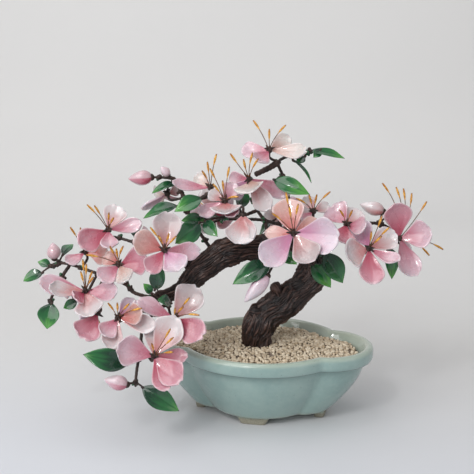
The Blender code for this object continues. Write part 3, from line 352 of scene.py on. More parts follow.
# The kinds of glass of each spray's buds
BUD_TONES = {"spray_left": "dd", "spray_low": "p", "spray_upper_left": "d", "spray_middle": "dp",
             "spray_front": "l", "spray_right": "pw", "spray_back": "p"}

# The colours of each kind of glass, near the middle of the bloom and at the petal's edge
GLASS = {
    "w": ((0.56, 0.22, 0.22), (0.69, 0.63, 0.64)),
    "c": ((0.59, 0.36, 0.31), (0.71, 0.66, 0.63)),
    # g: painted shade, the white glass greyed for petals that lie in shade
    "g": ((0.48, 0.21, 0.21), (0.54, 0.46, 0.465)),
    "p": ((0.52, 0.145, 0.21), (0.69, 0.49, 0.555)),
    "d": ((0.46, 0.070, 0.12), (0.60, 0.285, 0.345)),
    "s": ((0.54, 0.13, 0.12), (0.67, 0.42, 0.38)),
    "l": ((0.56, 0.22, 0.36), (0.69, 0.57, 0.65)),
}

# Fineness of the pieces
POT_STEPS = 5
FOOT_SIDES = 40
FOOT_SQUARENESS = 0.42
FOOT_LEVELS = [(0.0, 0.73, 0.6), (0.35, 0.745, 0.15), (1.0, 0.765, 0.0), (FOOT_HEIGHT - 1.5, 0.9, 0.0),
               (FOOT_HEIGHT - 0.4, 0.955, 0.0), (FOOT_HEIGHT + 1, 1.0, 0.4), (FOOT_HEIGHT + 2, 1.0, 1.2)]
GROUP_SPAN = 0.4
BED_RINGS = 26
BED_GAP = GAP + 0.1
GRAIN_STEP = 2.5
GRAIN_SIZES = (0.95, 1.75)
GRAIN_SHADES = ((0.44, 0.33, 0.21), (0.83, 0.73, 0.57))
GRAIN_DARK = (0.14, 0.10, 0.08)
DARK_ABOVE = 0.985
GRAIN_SCATTER = 0.42
GRAIN_SHAPE = ((0.9, 1.35), (0.75, 1.0), (0.55, 0.85))
GRAIN_SEED = 11
TREE_SEED = 5
SHAPE_SEEDS = (0, 9)
TRUNK_CLEAR = 11.5
BARK_GROOVES = [(2.7, 30.0, 1.4), (1.25, 17.0, 1.5), (0.65, 8.0, 0.9)]
BARK_SWELL = 1.02
TRUNK_FINE = 10
TRUNK_FINE_SIDES = 210
TRUNK_RING = 0.9
STUB_STEPS = 8
STUB_FINE_SIDES = 48
LUMP_RINGS = 8
LUMP_SIDES = 12
WIRE_RING = 0.6
WIRE_SIDES = 10
TAPE_PITCH = 3.4
TAPE_EDGE = 0.16
RIM_ROUNDING = 9
RIM_SWELL = 1.5
LEAF_FINE_THICKNESS = 1.0
LEAF_FINE_ROWS = 26
LEAF_FINE_COLUMNS = 16
PETAL_FINE_THICKNESS = 1.1
PETAL_FINE_ROWS = 18
PETAL_FINE_COLUMNS = 18
BUD_RINGS = 20
BUD_FINE_SIDES = 18
FILAMENT_RINGS = 18
FILAMENT_FINE = 0.36
ANTHER_FINE = 0.95
ANTHER_FINE_LENGTH = 8.5
SEPALS = 5
SEPAL_RADIUS = 0.9
SEPAL_LENGTHS = (4.0, 6.5)
SEPAL_OPENINGS = (60, 85)
KNOT_SIZES = (1.9, 2.5)
BURRS = 3
BURR_REACH = 2.2
BURR_SIZES = (1.0, 1.6)
FILAMENT_SIDES = 8

# The camera: how far above level and how far away it is, the point that it looks at, and its lens
VIEW_RISE = math.radians(13)
VIEW_DISTANCE = 850.0
VIEW_TARGET = (-21.0, 0.0, 155.0)
LENS = 77.4

# The studio, in metres: how far the sweep reaches, how high the lights aim, and each light's name, place,
# size, power and colour
SWEEP_NEAR, SWEEP_FAR, SWEEP_BEND, SWEEP_TOP, SWEEP_SIDE = 2.0, 0.8, 0.5, 3.0, 3.0
LIGHTS_AIM = 0.13
LIGHTS = [
    ("key", (-0.9, -1.1, 1.0), (1.5, 1.5), 19.0, (1.0, 0.99, 0.98)),
    ("spark", (-0.5, -1.1, 1.2), (0.1, 0.3), 3.4, (1.0, 1.0, 1.0)),
    ("fill", (1.2, -0.9, 0.6), (1.0, 1.0), 1.9, (0.97, 0.98, 1.0)),
    ("top", (-0.3, 0.1, 1.5), (1.2, 0.8), 5.0, (1.0, 1.0, 1.0)),
]
WORLD_COLOUR = (0.98, 0.98, 1.0)
WORLD_STRENGTH = 0.42

# From millimetres in the tree frame to the frame's metres
pot_low, pot_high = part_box("pot")
TO_ROW = Matrix.Translation(((pot_low[0] + pot_high[0]) / 2, (pot_low[1] + pot_high[1]) / 2,
                             pot_low[2] - TABLE * MM)) @ Matrix.Rotation(-POT_TURN, 4, "Z")


# Directions and paths

def facing(turn, rise):
    """Unit vector for a turn from the front towards the right and a rise from level, in degrees."""
    turn, rise = math.radians(turn), math.radians(rise)
    return Vector((math.sin(turn) * math.cos(rise), -math.cos(turn) * math.cos(rise), math.sin(rise)))


def across(axis):
    """Right and up directions of someone who looks at a thing that faces along the axis."""
    right = UP.cross(axis).normalized()
    return right, axis.cross(right)


def splay(axis, angle, opening):
    """Direction that leaves the axis by the opening, towards the angle round it, in degrees."""
    right, up = across(axis)
    angle, opening = math.radians(angle), math.radians(opening)
    return math.cos(opening) * axis + math.sin(opening) * (math.cos(angle) * right + math.sin(angle) * up)


def smooth(points, steps):
    """Points of a smooth curve through the given ones, with this many steps from each to the next."""
    points = [Vector(point) for point in points]
    ends = [2 * points[0] - points[1]] + points + [2 * points[-1] - points[-2]]
    curve = []
    for a, b, c, d in zip(ends, ends[1:], ends[2:], ends[3:]):
        for step in range(steps):
            t = step / steps
            curve.append(0.5 * (2 * b + (c - a) * t + (2 * a - 5 * b + 4 * c - d) * t ** 2
                                + (3 * b - a - 3 * c + d) * t ** 3))
    return curve + [points[-1]]


# The pot's outline, and closed shapes through rings

def pot_ring(inset, scale, height):
    """One level of the plan of four lobes, set in from the rim's outline and then scaled."""
    end_radius = ((POT_LENGTH / 2 - NOTCH_X) ** 2 + NOTCH_Y ** 2) / (POT_LENGTH - 2 * NOTCH_X)
    side_radius = ((POT_DEPTH / 2 - NOTCH_Y) ** 2 + NOTCH_X ** 2) / (POT_DEPTH - 2 * NOTCH_Y)
    end = Vector((POT_LENGTH / 2 - end_radius, 0.0))
    side = Vector((0.0, POT_DEPTH / 2 - side_radius))
    end_radius -= inset
    side_radius -= inset
    between = side - end
    reach = (end_radius ** 2 - side_radius ** 2 + between.length_squared) / (2 * between.length)
    height_over = math.sqrt(end_radius ** 2 - reach ** 2)
    line = between.normalized()
    notch = end + reach * line + height_over * Vector((line.y, -line.x))
    half = math.atan2(notch.y - end.y, notch.x - end.x)
    start = math.atan2(notch.y - side.y, notch.x - side.x)
    arc = [end + end_radius * Vector((math.cos(a), math.sin(a)))
           for a in (half * (2 * k / END_STEPS - 1) for k in range(END_STEPS))]
    arc += [side + side_radius * Vector((math.cos(a), math.sin(a)))
            for a in (start + (math.pi - 2 * start) * k / SIDE_STEPS for k in range(SIDE_STEPS))]
    turned = Matrix.Rotation(POT_TURN, 2)
    ring = [turned @ (point * scale) for point in arc + [-point for point in arc]]
    return [Vector((point.x, point.y, height + TABLE)) for point in ring]


def stacked(rings):
    """Closed shape through rings of equal count, closed by a flat face at each end."""
    count = len(rings[0])
    points = [point for ring in rings for point in ring]
    faces = []
    for ring in range(len(rings) - 1):
        for k in range(count):
            a, b = ring * count + k, ring * count + (k + 1) % count
            faces.append((a, b, b + count, a + count))
    last = (len(rings) - 1) * count
    return points, faces + [tuple(reversed(range(count))), tuple(range(last, last + count))]


def inner_wall(height):
    """Inset and scale of the pot's inner wall at a height."""
    share = max(0.0, min(1.0, (height - GRAVEL_FLOOR) / (POT_HEIGHT - RIM_BAND - GRAVEL_FLOOR)))
    return WALL + 4.0, BASE_SCALE + (0.97 - BASE_SCALE) * math.sin(share * math.pi / 2)


# Fine closed shapes, each as points, faces and, for every point, a place that the materials read

def distances(path):
    """How far along a path each of its points lies."""
    reached = [0.0]
    for a, b in zip(path, path[1:]):
        reached.append(reached[-1] + (b - a).length)
    return reached


def evenly(path, step):
    """Points a set distance apart along a path, and their distance from its start."""
    reached = distances(path)
    count = max(2, round(reached[-1] / step))
    points, at = [], []
    k = 0
    for n in range(count + 1):
        want = reached[-1] * n / count
        while k < len(path) - 2 and reached[k + 1] < want:
            k += 1
        share = (want - reached[k]) / max(reached[k + 1] - reached[k], 1e-9)
        points.append(path[k].lerp(path[k + 1], share))
        at.append(want)
    return points, at


def hose(path, sides, radius, place):
    """Closed tube whose radius and place depend on the ring and on the angle round it."""
    directions = [(b - a).normalized() for a, b in zip(path, path[1:])]
    directions = directions[:1] + [(a + b).normalized() for a, b in zip(directions, directions[1:])] \
        + directions[-1:]
    side = directions[0].orthogonal().normalized()
    rings, places = [], []
    for ring, (centre, along) in enumerate(zip(path, directions)):
        side = (side - side.dot(along) * along).normalized()
        other = along.cross(side)
        rings.append([])
        for k in range(sides):
            angle = 2 * math.pi * k / sides
            out = math.cos(angle) * side + math.sin(angle) * other
            rings[-1].append(centre + radius(ring, angle) * out)
            places.append(place(ring, angle))
    return *stacked(rings), places


def sheet(base, along, face, length, bend, outline, relief, thickness, rows, columns, chance, swell=0.0):
    """Closed thin sheet on a bent rib, thinning to a rounded rim all round.

    At a row from 0 to 1 and a column from -1 to 1, outline gives the half width and how far along the rib
    the point lies, and relief its height off the rib. Swell thickens the glass just inside the rim.
    """
    side = along.cross(face).normalized()
    face = side.cross(along).normalized()
    points, faces, places, top, under = [], [], [], {}, {}
    for i in range(rows + 1):
        row = 0.5 - 0.5 * math.cos(math.pi * i / rows)
        for j in range(columns + 1):
            column = math.sin(math.pi * (j / columns - 0.5))
            reach, at = outline(row, column)
            slope = bend * (at - 0.4)
            rib = (math.sin(slope) + math.sin(0.4 * bend)) / bend * along \
                + (math.cos(0.4 * bend) - math.cos(slope)) / bend * face
            normal = math.cos(slope) * face - math.sin(slope) * along
            middle = base + length * rib + side * reach * column + normal * relief(row, column, reach)
            rim = math.sqrt(max(0.0, (1 - abs(column) ** RIM_ROUNDING) * (1 - row ** RIM_ROUNDING)
                                * (1 - (1 - row) ** RIM_ROUNDING)))
            bead = swell * max(abs(column) ** 5 * min(1.0, 2.5 * row), row ** 6)
            half = thickness / 2 * rim * (1 + bead)
            top[i, j] = under[i, j] = len(points)
            points.append(middle + normal * half)
            places.append((row, column, chance))
            if 0 < i < rows and 0 < j < columns:
                under[i, j] = len(points)
                points.append(middle - normal * half)
                places.append((row, column, chance))
    for i in range(rows):
        for j in range(columns):
            faces.append((top[i, j], top[i, j + 1], top[i + 1, j + 1], top[i + 1, j]))
            faces.append((under[i + 1, j], under[i + 1, j + 1], under[i, j + 1], under[i, j]))
    return points, faces, places


def lump(centre, radius, along, squeeze, seed):
    """Uneven knot, longer or shorter along one direction than across it."""
    along = along.normalized()
    path = [centre + along * radius * squeeze * -math.cos(math.pi * k / LUMP_RINGS)
            for k in range(LUMP_RINGS + 1)]

    def width(ring, angle):
        round_ = max(0.12, math.sin(math.pi * ring / LUMP_RINGS))
        spot = Vector((2 * math.cos(angle), 2 * math.sin(angle), ring * 0.9))
        bump = noise.noise(spot + Vector((seed,) * 3))
        return radius * round_ * (1 + 0.28 * bump)
    return hose(path, LUMP_SIDES, width, lambda ring, angle: (ring / LUMP_RINGS, angle, seed))


def shown(name, mesh, material):
    """New object in the scene, with a smooth mesh of one material."""
    mesh.polygons.foreach_set("use_smooth", [True] * len(mesh.polygons))
    mesh.materials.append(material)
    thing = bpy.data.objects.new(name, mesh)
    bpy.context.scene.collection.objects.link(thing)
    return thing


class Piece:
    """Gathers fine shapes into one mesh, with two colours for every shape."""

    def __init__(self):
        self.points, self.faces, self.places, self.tints, self.edges = [], [], [], [], []

    def add(self, shape, tint=(1.0, 1.0, 1.0), edge=(1.0, 1.0, 1.0)):
        points, faces, places = shape
        start = len(self.points)
        self.points += points
        self.faces += [tuple(start + k for k in face) for face in faces]
        self.places += places
        self.tints += [(*tint, 1.0)] * len(points)
        self.edges += [(*edge, 1.0)] * len(points)

    def make(self, name, material, slot, node):
        """The finished piece, riding on the root in place of a node."""
        mesh = bpy.data.meshes.new(name)
        mesh.from_pydata([TO_ROW @ (Vector(point) * MM) for point in self.points], [], self.faces)
        made = bmesh.new()
        made.from_mesh(mesh)
        bmesh.ops.recalc_face_normals(made, faces=made.faces)
        made.to_mesh(mesh)
        made.free()
        places = mesh.attributes.new("place", "FLOAT_VECTOR", "POINT")
        places.data.foreach_set("vector", [value for place in self.places for value in place])
        for title, colours in (("tint", self.tints), ("edge", self.edges)):
            layer = mesh.attributes.new(title, "FLOAT_COLOR", "POINT")
            layer.data.foreach_set("color", [value for colour in colours for value in colour])
        thing = shown(name, mesh, material)
        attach(thing, ROOT)
        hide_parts(node)


# Pot, gravel and trunk

def build_pot(glaze, clay):
    """Smooth bowl of four lobes with a rounded rim band, on four bracket feet."""
    top, band = POT_HEIGHT, POT_HEIGHT - RIM_BAND
    groups = [
        [(FOOT_HEIGHT, 5, BASE_SCALE), (FOOT_HEIGHT + 3, 5, BASE_SCALE + 0.05), (24, 5, 0.84), (38, 5, 0.94),
         (band - 0.5, 5, 0.985)],
        [(band + 0.5, 1.0, 1), (band + 3, 0, 1), (top - 3, 0, 1), (top - 0.8, 1.4, 1), (top, 3.8, 1),
         (top - 0.8, 6.2, 1), (top - 3, WALL + 0.8, 1)],
        [(height, *inner_wall(height)) for height in (band, 40, 30, GRAVEL_FLOOR - 1)],
    ]
    rings, places = [], []
    for number, group in enumerate(groups):
        profile = smooth([(height, inset, scale * 100) for height, inset, scale in group], POT_STEPS)
        for step, point in enumerate(profile):
            ring = pot_ring(point.y, point.z / 100, point.x)
            rings.append(ring)
            part = number + GROUP_SPAN * step / len(profile)
            places += [(point.x, part, k / len(ring)) for k in range(len(ring))]
    pot = Piece()
    pot.add((*stacked(rings), places))
    pot.make("pot_glazed", glaze, "glaze", "pot")
    feet = Piece()
    turned = Matrix.Rotation(POT_TURN, 3, "Z")
    half_width, half_depth = FOOT_WIDTH / 2, FOOT_THICKNESS / 2
    end_foot = (POT_LENGTH / 2 - 5) * BASE_SCALE - half_depth - 1.5
    side_foot = (POT_DEPTH / 2 - 5) * BASE_SCALE - half_depth - 1.5
    for x, y, along in ((0, side_foot, 0), (0, -side_foot, 0), (end_foot, 0, 90), (-end_foot, 0, 90)):
        spin = turned @ Matrix.Rotation(math.radians(along), 3, "Z")
        centre = turned @ Vector((x, y, 0))
        rings, places = [], []
        for height, share, inset in FOOT_LEVELS:
            ring = []
            for k in range(FOOT_SIDES):
                angle = 2 * math.pi * k / FOOT_SIDES
                i, j = (math.copysign(abs(value) ** FOOT_SQUARENESS, value)
                        for value in (math.cos(angle), math.sin(angle)))
                ring.append(centre + Vector((0, 0, height + TABLE))
                            + spin @ Vector((i * (half_width * share - inset), j * (half_depth - inset), 0)))
                places.append((height, 0.0, k / FOOT_SIDES))
            rings.append(ring)
        feet.add((*stacked(rings), places))
    feet.make("pot_feet", clay, "glaze", "pot")


def inside(ring, x, y):
    """Whether a point lies inside a ring's plan."""
    found = False
    for a, b in zip(ring, ring[1:] + ring[:1]):
        if (a.y > y) != (b.y > y) and x < a.x + (y - a.y) / (b.y - a.y) * (b.x - a.x):
            found = not found
    return found


def build_gravel(stone, bed_gap_shade):
    """Bed that fills the pot and the loose grains on top of it."""
    rings = []
    inset, scale = inner_wall(GRAVEL_EDGE)
    outer = pot_ring(inset + BED_GAP, scale, GRAVEL_EDGE)
    centre = sum((Vector((point.x, point.y)) for point in outer), Vector((0.0, 0.0))) / len(outer)

    def height_at(x, y):
        spread = Vector((x, y)) - centre
        share = min(1.0, math.hypot(spread.x / (POT_LENGTH / 2 - WALL), spread.y / (POT_DEPTH / 2 - WALL)))
        waves = noise.noise(Vector((x, y, 0.0)) / 17)
        return TABLE + GRAVEL_EDGE - 1.2 + GRAVEL_MOUND * (1 - share ** 2) + 1.1 * waves
    for height in (GRAVEL_FLOOR, 30, POT_HEIGHT - RIM_BAND):
        low_inset, low_scale = inner_wall(height)
        rings.append(pot_ring(low_inset + BED_GAP, low_scale, height))
    for step in range(BED_RINGS):
        share = 1 - step / BED_RINGS
        flat = pot_ring(inset + BED_GAP, scale * share, 0)
        rings.append([Vector((point.x, point.y, height_at(point.x, point.y))) for point in flat])
    places = [(point.x, point.y, point.z) for ring in rings for point in ring]
    bed = Piece()
    bed.add((*stacked(rings), places))
    # the bed shows only in the gaps between the grains, where its dark colour is painted shade
    bed.make("gravel_bed", bed_gap_shade, "gravel", "gravel")

    ball = bmesh.new()
    bmesh.ops.create_icosphere(ball, subdivisions=2, radius=1.0)
    corners = [vertex.co.copy() for vertex in ball.verts]
    sides = [tuple(vertex.index for vertex in face.verts) for face in ball.faces]
    ball.free()
    chance = random.Random(GRAIN_SEED)
    grains = Piece()
    trunk_foot = Vector(TRUNK[0][0]).xy
    steps_x, steps_y = int(POT_LENGTH / GRAIN_STEP / 2), int(POT_DEPTH / GRAIN_STEP / 2) + 8
    for i in range(-steps_x, steps_x + 1):
        for j in range(-steps_y, steps_y + 1):
            x = (i + chance.uniform(-GRAIN_SCATTER, GRAIN_SCATTER)) * GRAIN_STEP
            y = (j + 0.5 * (i % 2) + chance.uniform(-GRAIN_SCATTER, GRAIN_SCATTER)) * GRAIN_STEP
            spin = Matrix.Rotation(chance.uniform(0, math.tau), 3, "Z") \
                @ Matrix.Rotation(chance.uniform(-0.9, 0.9), 3, "X")
            size = chance.uniform(*GRAIN_SIZES)
            shape = Vector([chance.uniform(*span) for span in GRAIN_SHAPE])
            lift = chance.uniform(0.1, 0.9)
            shade = chance.random()
            if not inside(outer, x, y) or (Vector((x, y)) - trunk_foot).length < TRUNK_CLEAR:
                continue
            place = Vector((x, y, height_at(x, y) + lift))
            lie = Vector((i * 3.1, j * 1.7, 0.0))
            points = []
            for corner in corners:
                uneven = 1 + 0.5 * noise.noise(corner * 1.3 + lie)
                points.append(place + spin @ Vector([a * b * size * uneven for a, b in zip(corner, shape)]))
            tint = GRAIN_DARK if shade > DARK_ABOVE else tuple(
                a + (b - a) * shade for a, b in zip(*GRAIN_SHADES))
            grains.add((points, sides, [(x, y, shade)] * len(points)), tint)
    grains.make("gravel_grains", stone, "gravel", "gravel")


def bark(radius, along, angle, seed):
    """Radius at a place on the bark, with long grooves and knots, and how deep in a groove it lies."""
    wander = angle + 0.5 * noise.noise(Vector((along / 22, seed, 0.0)))
    round_ = Vector((math.cos(wander), math.sin(wander), 0.0))
    groove = 0.0
    for number, (width, stretch, depth) in enumerate(BARK_GROOVES):
        spot = round_ * radius / width + Vector((0.0, 0.0, along / stretch + 7.3 * number + seed))
        groove += depth * (1.6 * abs(noise.noise(spot)) ** 0.7 - 0.55)
    knots = noise.noise(round_ * radius / 8 + Vector((0.0, 0.0, along / 11 + seed)))
    return radius * (1 + 0.09 * knots) + groove, groove


def bark_hose(path, step, radius_at, sides, seed):
    """Bark-covered limb with a rough, rounded end."""
    points, at = evenly(path, step)
    total = at[-1]
    values = {}

    def radius(ring, angle):
        base = radius_at(at[ring] / total)
        end = math.sqrt(max(0.02, min(1.0, (total - at[ring]) / (0.5 * base))))
        reach, groove = bark(base, at[ring], angle, seed)
        values[ring, angle] = groove
        return reach * end
    return hose(points, sides, radius, lambda ring, angle: (at[ring], angle, values[ring, angle]))


def build_trunk(material):
    """Trunk with deep bark and cut stubs."""
    path = smooth([place for place, _ in TRUNK], TRUNK_FINE)
    widths = smooth([(radius, 0, 0) for _, radius in TRUNK], TRUNK_FINE)
    lengths = distances(path)

    def radius_at(share):
        want = share * lengths[-1]
        k = max(n for n, reached in enumerate(lengths) if reached <= want + 1e-6)
        turn = 2 * k / TRUNK_FINE
        return widths[k].x * (1 + 0.06 * math.sin(1.7 * turn) + 0.04 * math.sin(0.6 * turn + 1)) * BARK_SWELL
    trunk = Piece()
    trunk.add(bark_hose(path, TRUNK_RING, radius_at, TRUNK_FINE_SIDES, 0.0))
    for number, (start, end, thick, thin) in enumerate(STUBS):
        stub = [Vector(start).lerp(Vector(end), k / STUB_STEPS) for k in range(STUB_STEPS + 1)]
        trunk.add(bark_hose(stub, TRUNK_RING, lambda share: thick + (thin - thick) * share,
                            STUB_FINE_SIDES, 3.0 + number))
    trunk.make("trunk_bark", material, "bark", "trunk")


# Sprays

def wire_shape(points, thick, thin, seed):
    """Wire wrapped in tape, with the edge of each turn of the tape standing proud."""
    path, at = evenly(smooth(points, 8), WIRE_RING)
    total = at[-1]

    def radius(ring, angle):
        turn = (at[ring] / TAPE_PITCH + angle / math.tau) % 1.0
        ridge = turn / 0.8 if turn < 0.8 else (1 - turn) / 0.2
        wobble = noise.noise(Vector((at[ring] / 5, math.cos(angle), math.sin(angle) + seed)))
        end = 0.6 if ring in (0, len(at) - 1) else 1.0
        return (thick + (thin - thick) * at[ring] / total) * end * (0.93 + TAPE_EDGE * ridge + 0.1 * wobble)
    return hose(path, WIRE_SIDES, radius, lambda ring, angle: (at[ring], angle, seed))


def level_across(base, tip):
    """The direction from base to tip, and the level one across it."""
    along = (tip - base).normalized()
    return along, along.cross(UP).normalized()


def fine_leaf(base, tip, roll, width, chance):
    """Pointed glass leaf, creased along the rib, with faint side veins and a wavy edge."""
    along, level = level_across(base, tip)
    face = Matrix.Rotation(math.radians(roll), 3, along) @ level.cross(along)

    def outline(row, column):
        half = width / 2 * (0.12 * (1 - row) + math.sin(math.pi * row ** 0.85))
        return max(half, 0.02 * width), row

    def relief(row, column, reach):
        veins = 0.09 * math.sin(math.tau * (row * 8 - abs(column) * 1.6)) * math.sin(math.pi * row)
        edge = 0.045 * width * math.sin(9 * row + 6 * chance + (2 if column > 0 else 0)) * abs(column) ** 3
        return LEAF_FOLD * reach * abs(column) ** 1.15 + (veins + edge) * min(1.0, 4 * (1 - row))
    return sheet(base, along, face, (tip - base).length, LEAF_BEND, outline, relief,
                 LEAF_FINE_THICKNESS, LEAF_FINE_ROWS, LEAF_FINE_COLUMNS, chance)


def fine_bud(base, tip, radius, chance):
    """Pointed oval glass bud."""
    path = [base.lerp(tip, k / BUD_RINGS) for k in range(BUD_RINGS + 1)]

    def width(ring, angle):
        share = ring / BUD_RINGS
        body = math.sin(math.pi * share ** 0.8) ** 0.75 if share < 1 else 0.0
        return max(radius * (0.22 * (1 - share) + body) * (1 + 0.04 * math.sin(3 * angle + 5 * share)), 0.12)
    return hose(path, BUD_FINE_SIDES, width, lambda ring, angle: (ring / BUD_RINGS, angle, chance))


def build_spray(name, spray, materials, chance):
    """The tape-wrapped wires and knots of a spray, its leaves and its buds."""
    wires, leaves, buds = Piece(), Piece(), Piece()
    inner, outer = (Vector(point) for point in spray["root"])
    wires.add(wire_shape([inner, outer], TWIG, TWIG, 0.5))
    knots = [outer]
    for points in spray["twigs"]:
        wires.add(wire_shape(points, TWIG, TWIG - TWIG_TAPER, chance.uniform(*SHAPE_SEEDS)))
    if name in SPURS:
        wires.add(wire_shape(SPURS[name], *SPUR_RADII, 4.0))
        knots += [Vector(points[-1])]
    for bloom, points in spray["stalks"].items():
        hub, look = BLOOMS[bloom][:2]
        axis = facing(*look)
        end = Vector(hub) - axis * (HUB_BACK + GAP)
        path = [Vector(point) for point in points] + [end - axis * STALK_STRAIGHT, end + axis]
        wires.add(wire_shape(path, STALK, STALK, chance.uniform(*SHAPE_SEEDS)))
        knots += [Vector(points[0])]
    for joint, base, tip, *_ in spray["leaves"]:
        along = (Vector(tip) - Vector(base)).normalized()
        middle = Vector(joint).lerp(Vector(base), 0.55) + Vector((0.0, 0.0, 0.6))
        path = [joint, middle, Vector(base) + along * LEAF_SUNK]
        wires.add(wire_shape(path, *LEAF_STEM, chance.uniform(*SHAPE_SEEDS)))
        wires.add(lump(Vector(base), 1.15, along, 1.6, chance.uniform(*SHAPE_SEEDS)))
        knots += [Vector(joint)]
    for k, (joint, base, tip, radius) in enumerate(spray["buds"]):
        along = (Vector(tip) - Vector(base)).normalized()
        path = [joint, Vector(base) + along * BUD_SUNK]
        wires.add(wire_shape(path, BUD_STEM, BUD_STEM, chance.uniform(*SHAPE_SEEDS)))
        wires.add(lump(Vector(base) + along * 0.8, 0.42 * radius + 0.6, along, 1.0,
                       chance.uniform(*SHAPE_SEEDS)))
        knots += [Vector(joint)]
        buds.add(fine_bud(Vector(base), Vector(tip), radius, chance.random()),
                 *GLASS[BUD_TONES[name][k]])
    for knot in {tuple(knot): knot for knot in knots}.values():
        along = Vector([chance.uniform(-1, 1) for _ in range(3)])
        wires.add(lump(knot, chance.uniform(*KNOT_SIZES), along, 1.1, chance.uniform(*SHAPE_SEEDS)))
        for _ in range(BURRS * knots.count(knot)):
            out = Vector([chance.uniform(-1, 1) for _ in range(3)]).normalized()
            burr = lump(knot + out * BURR_REACH, chance.uniform(*BURR_SIZES), out, 1.3,
                        chance.uniform(*SHAPE_SEEDS))
            if chance.random() < 0.5:
                wires.add(burr)
            else:
                leaves.add(burr, (0.0, 0.0, 0.0))
    for k, (_, base, tip, roll, width) in enumerate(spray["leaves"]):
        swing, opening, share = BENT.get((name, "leaf", k), UNBENT)
        base, tip = Vector(base), Vector(tip)
        _, level = level_across(base, tip)
        turned = Matrix.Rotation(math.radians(swing), 3, UP) \
            @ Matrix.Rotation(math.radians(opening), 3, level)
        tone = chance.random()
        tip = base + turned @ (tip - base) * share
        leaves.add(fine_leaf(base, tip, roll, width * share, chance.random()), (tone, tone, tone))
    wires.make(name + "_wires", materials["tape"], "bark", name)
    leaves.make(name + "_leaves", materials["leaf"], "leaf_glass", name)
    if spray["buds"]:
        buds.make(name + "_buds", materials["petal"], "petal_glass", name)


# Blooms

def fine_petal(hub, axis, angle, opening, length, width, roll, chance):
    """Cupped glass petal with a notched, rippled edge."""
    along = splay(axis, angle, opening)
    base = hub - axis + splay(axis, angle, 90) * PETAL_START
    face = Matrix.Rotation(math.radians(roll), 3, along) @ axis
    widest = width / 2
    phase, depth = math.tau * chance.random(), chance.uniform(0.0, 0.06)
    lean, curl = chance.uniform(-1, 1), chance.uniform(-0.5, 1.4)

    def outline(row, column):
        half = widest * (0.11 * (1 - 0.95 * row) + math.sin(math.pi * (0.95 * row) ** 1.7) ** 0.6)
        half *= 1 + 0.05 * row * math.sin(phase + 8 * row + (2.5 if column > 0 else 0))
        notch = math.exp(-((column - 0.15 * lean) / 0.25) ** 2)
        end = 0.9 + 0.1 * math.sqrt(1 - min(1.0, column * column)) - depth * notch \
            + 0.03 * lean * column + 0.012 * math.sin(2 * phase + 6 * column)
        return half, row * (1 + (end - 1) * row ** 3)

    def relief(row, column, reach):
        cup = PETAL_CUP * (reach * column) ** 2 * 0.9
        crease = -0.35 * math.exp(-(column / 0.16) ** 2) * row
        ripple = 0.75 * math.sin(phase + 5 * column + 3 * row) * row ** 2 * abs(column)
        rim = curl * (0.07 * length * row ** 6 + 0.5 * abs(column) ** 4 * row)
        return cup + crease + ripple + rim
    return sheet(base, along, face, length, PETAL_BEND, outline, relief, PETAL_FINE_THICKNESS,
                 PETAL_FINE_ROWS, PETAL_FINE_COLUMNS, chance.random(), RIM_SWELL)


def fine_filament(foot, axis, angle, tilt, length, from_middle, chance):
    """Bowed wire filament with a glass spindle at its tip."""
    start = foot + from_middle * splay(axis, angle, 90)
    path = []
    for k in range(FILAMENT_RINGS + 1):
        share = 1 - (1 - k / FILAMENT_RINGS) ** 1.3
        path.append(start + length * share * splay(axis, angle, tilt * (0.6 + 0.4 * share)))
    sag = ANTHER_FINE_LENGTH / length

    def part(ring):
        share = 1 - (1 - ring / FILAMENT_RINGS) ** 1.3
        return (share - 1 + sag) / sag

    def radius(ring, angle_):
        at = part(ring)
        if at <= 0:
            return FILAMENT_FINE
        return FILAMENT_FINE + (ANTHER_FINE - FILAMENT_FINE) * math.sin(math.pi * min(at, 0.94)) ** 0.5
    return hose(path, FILAMENT_SIDES, radius, lambda ring, angle_: (part(ring), angle_, chance))


def build_bloom(name, materials, chance):
    """The petals, the dark calyx and the stamens of a bloom."""
    hub, look, petals, stamens = BLOOMS[name]
    axis = facing(*look)
    hub = Vector(hub)
    glass, calyx, wires = Piece(), Piece(), Piece()
    for k, (angle, opening, length, width, roll) in enumerate(petals):
        swing, more, share = BENT.get((name, "petal", k), UNBENT)
        glass.add(fine_petal(hub, axis, angle + swing, opening + more, length * share, width * share, roll,
                             chance), *GLASS[TONES[name][k]])
    calyx.add(lump(hub - axis * 1.2, HUB_RADIUS - 0.5, axis, 0.95, chance.uniform(*SHAPE_SEEDS)))
    calyx.add(lump(hub + axis * 0.9, 1.5, axis, 0.9, chance.uniform(*SHAPE_SEEDS)))
    for k in range(SEPALS):
        turn = 360 * (k + chance.uniform(-0.3, 0.3)) / SEPALS
        out = splay(axis, turn, chance.uniform(*SEPAL_OPENINGS))
        calyx.add(fine_bud(hub, hub + out * chance.uniform(*SEPAL_LENGTHS), SEPAL_RADIUS, chance.random()))
    foot = hub + axis * (HUB_FRONT + GAP + 0.6)
    for k, (angle, tilt, length) in enumerate(stamens):
        swing, more, share = BENT.get((name, "stamen", k), UNBENT)
        wires.add(fine_filament(foot - axis * FILAMENT_SUNK, axis, angle + swing, max(4, tilt + more),
                                length * share + FILAMENT_SUNK, FILAMENT_STARTS[k % 3], chance.random()))
    number = name[-2:]
    glass.make("petals_" + number, materials["petal"], "petal_glass", name + "_petals")
    calyx.make("calyx_" + number, materials["tape"], "bark", name + "_petals")
    wires.make("stamens_" + number, materials["stamen"], "stamen", name + "_stamens")


# Materials

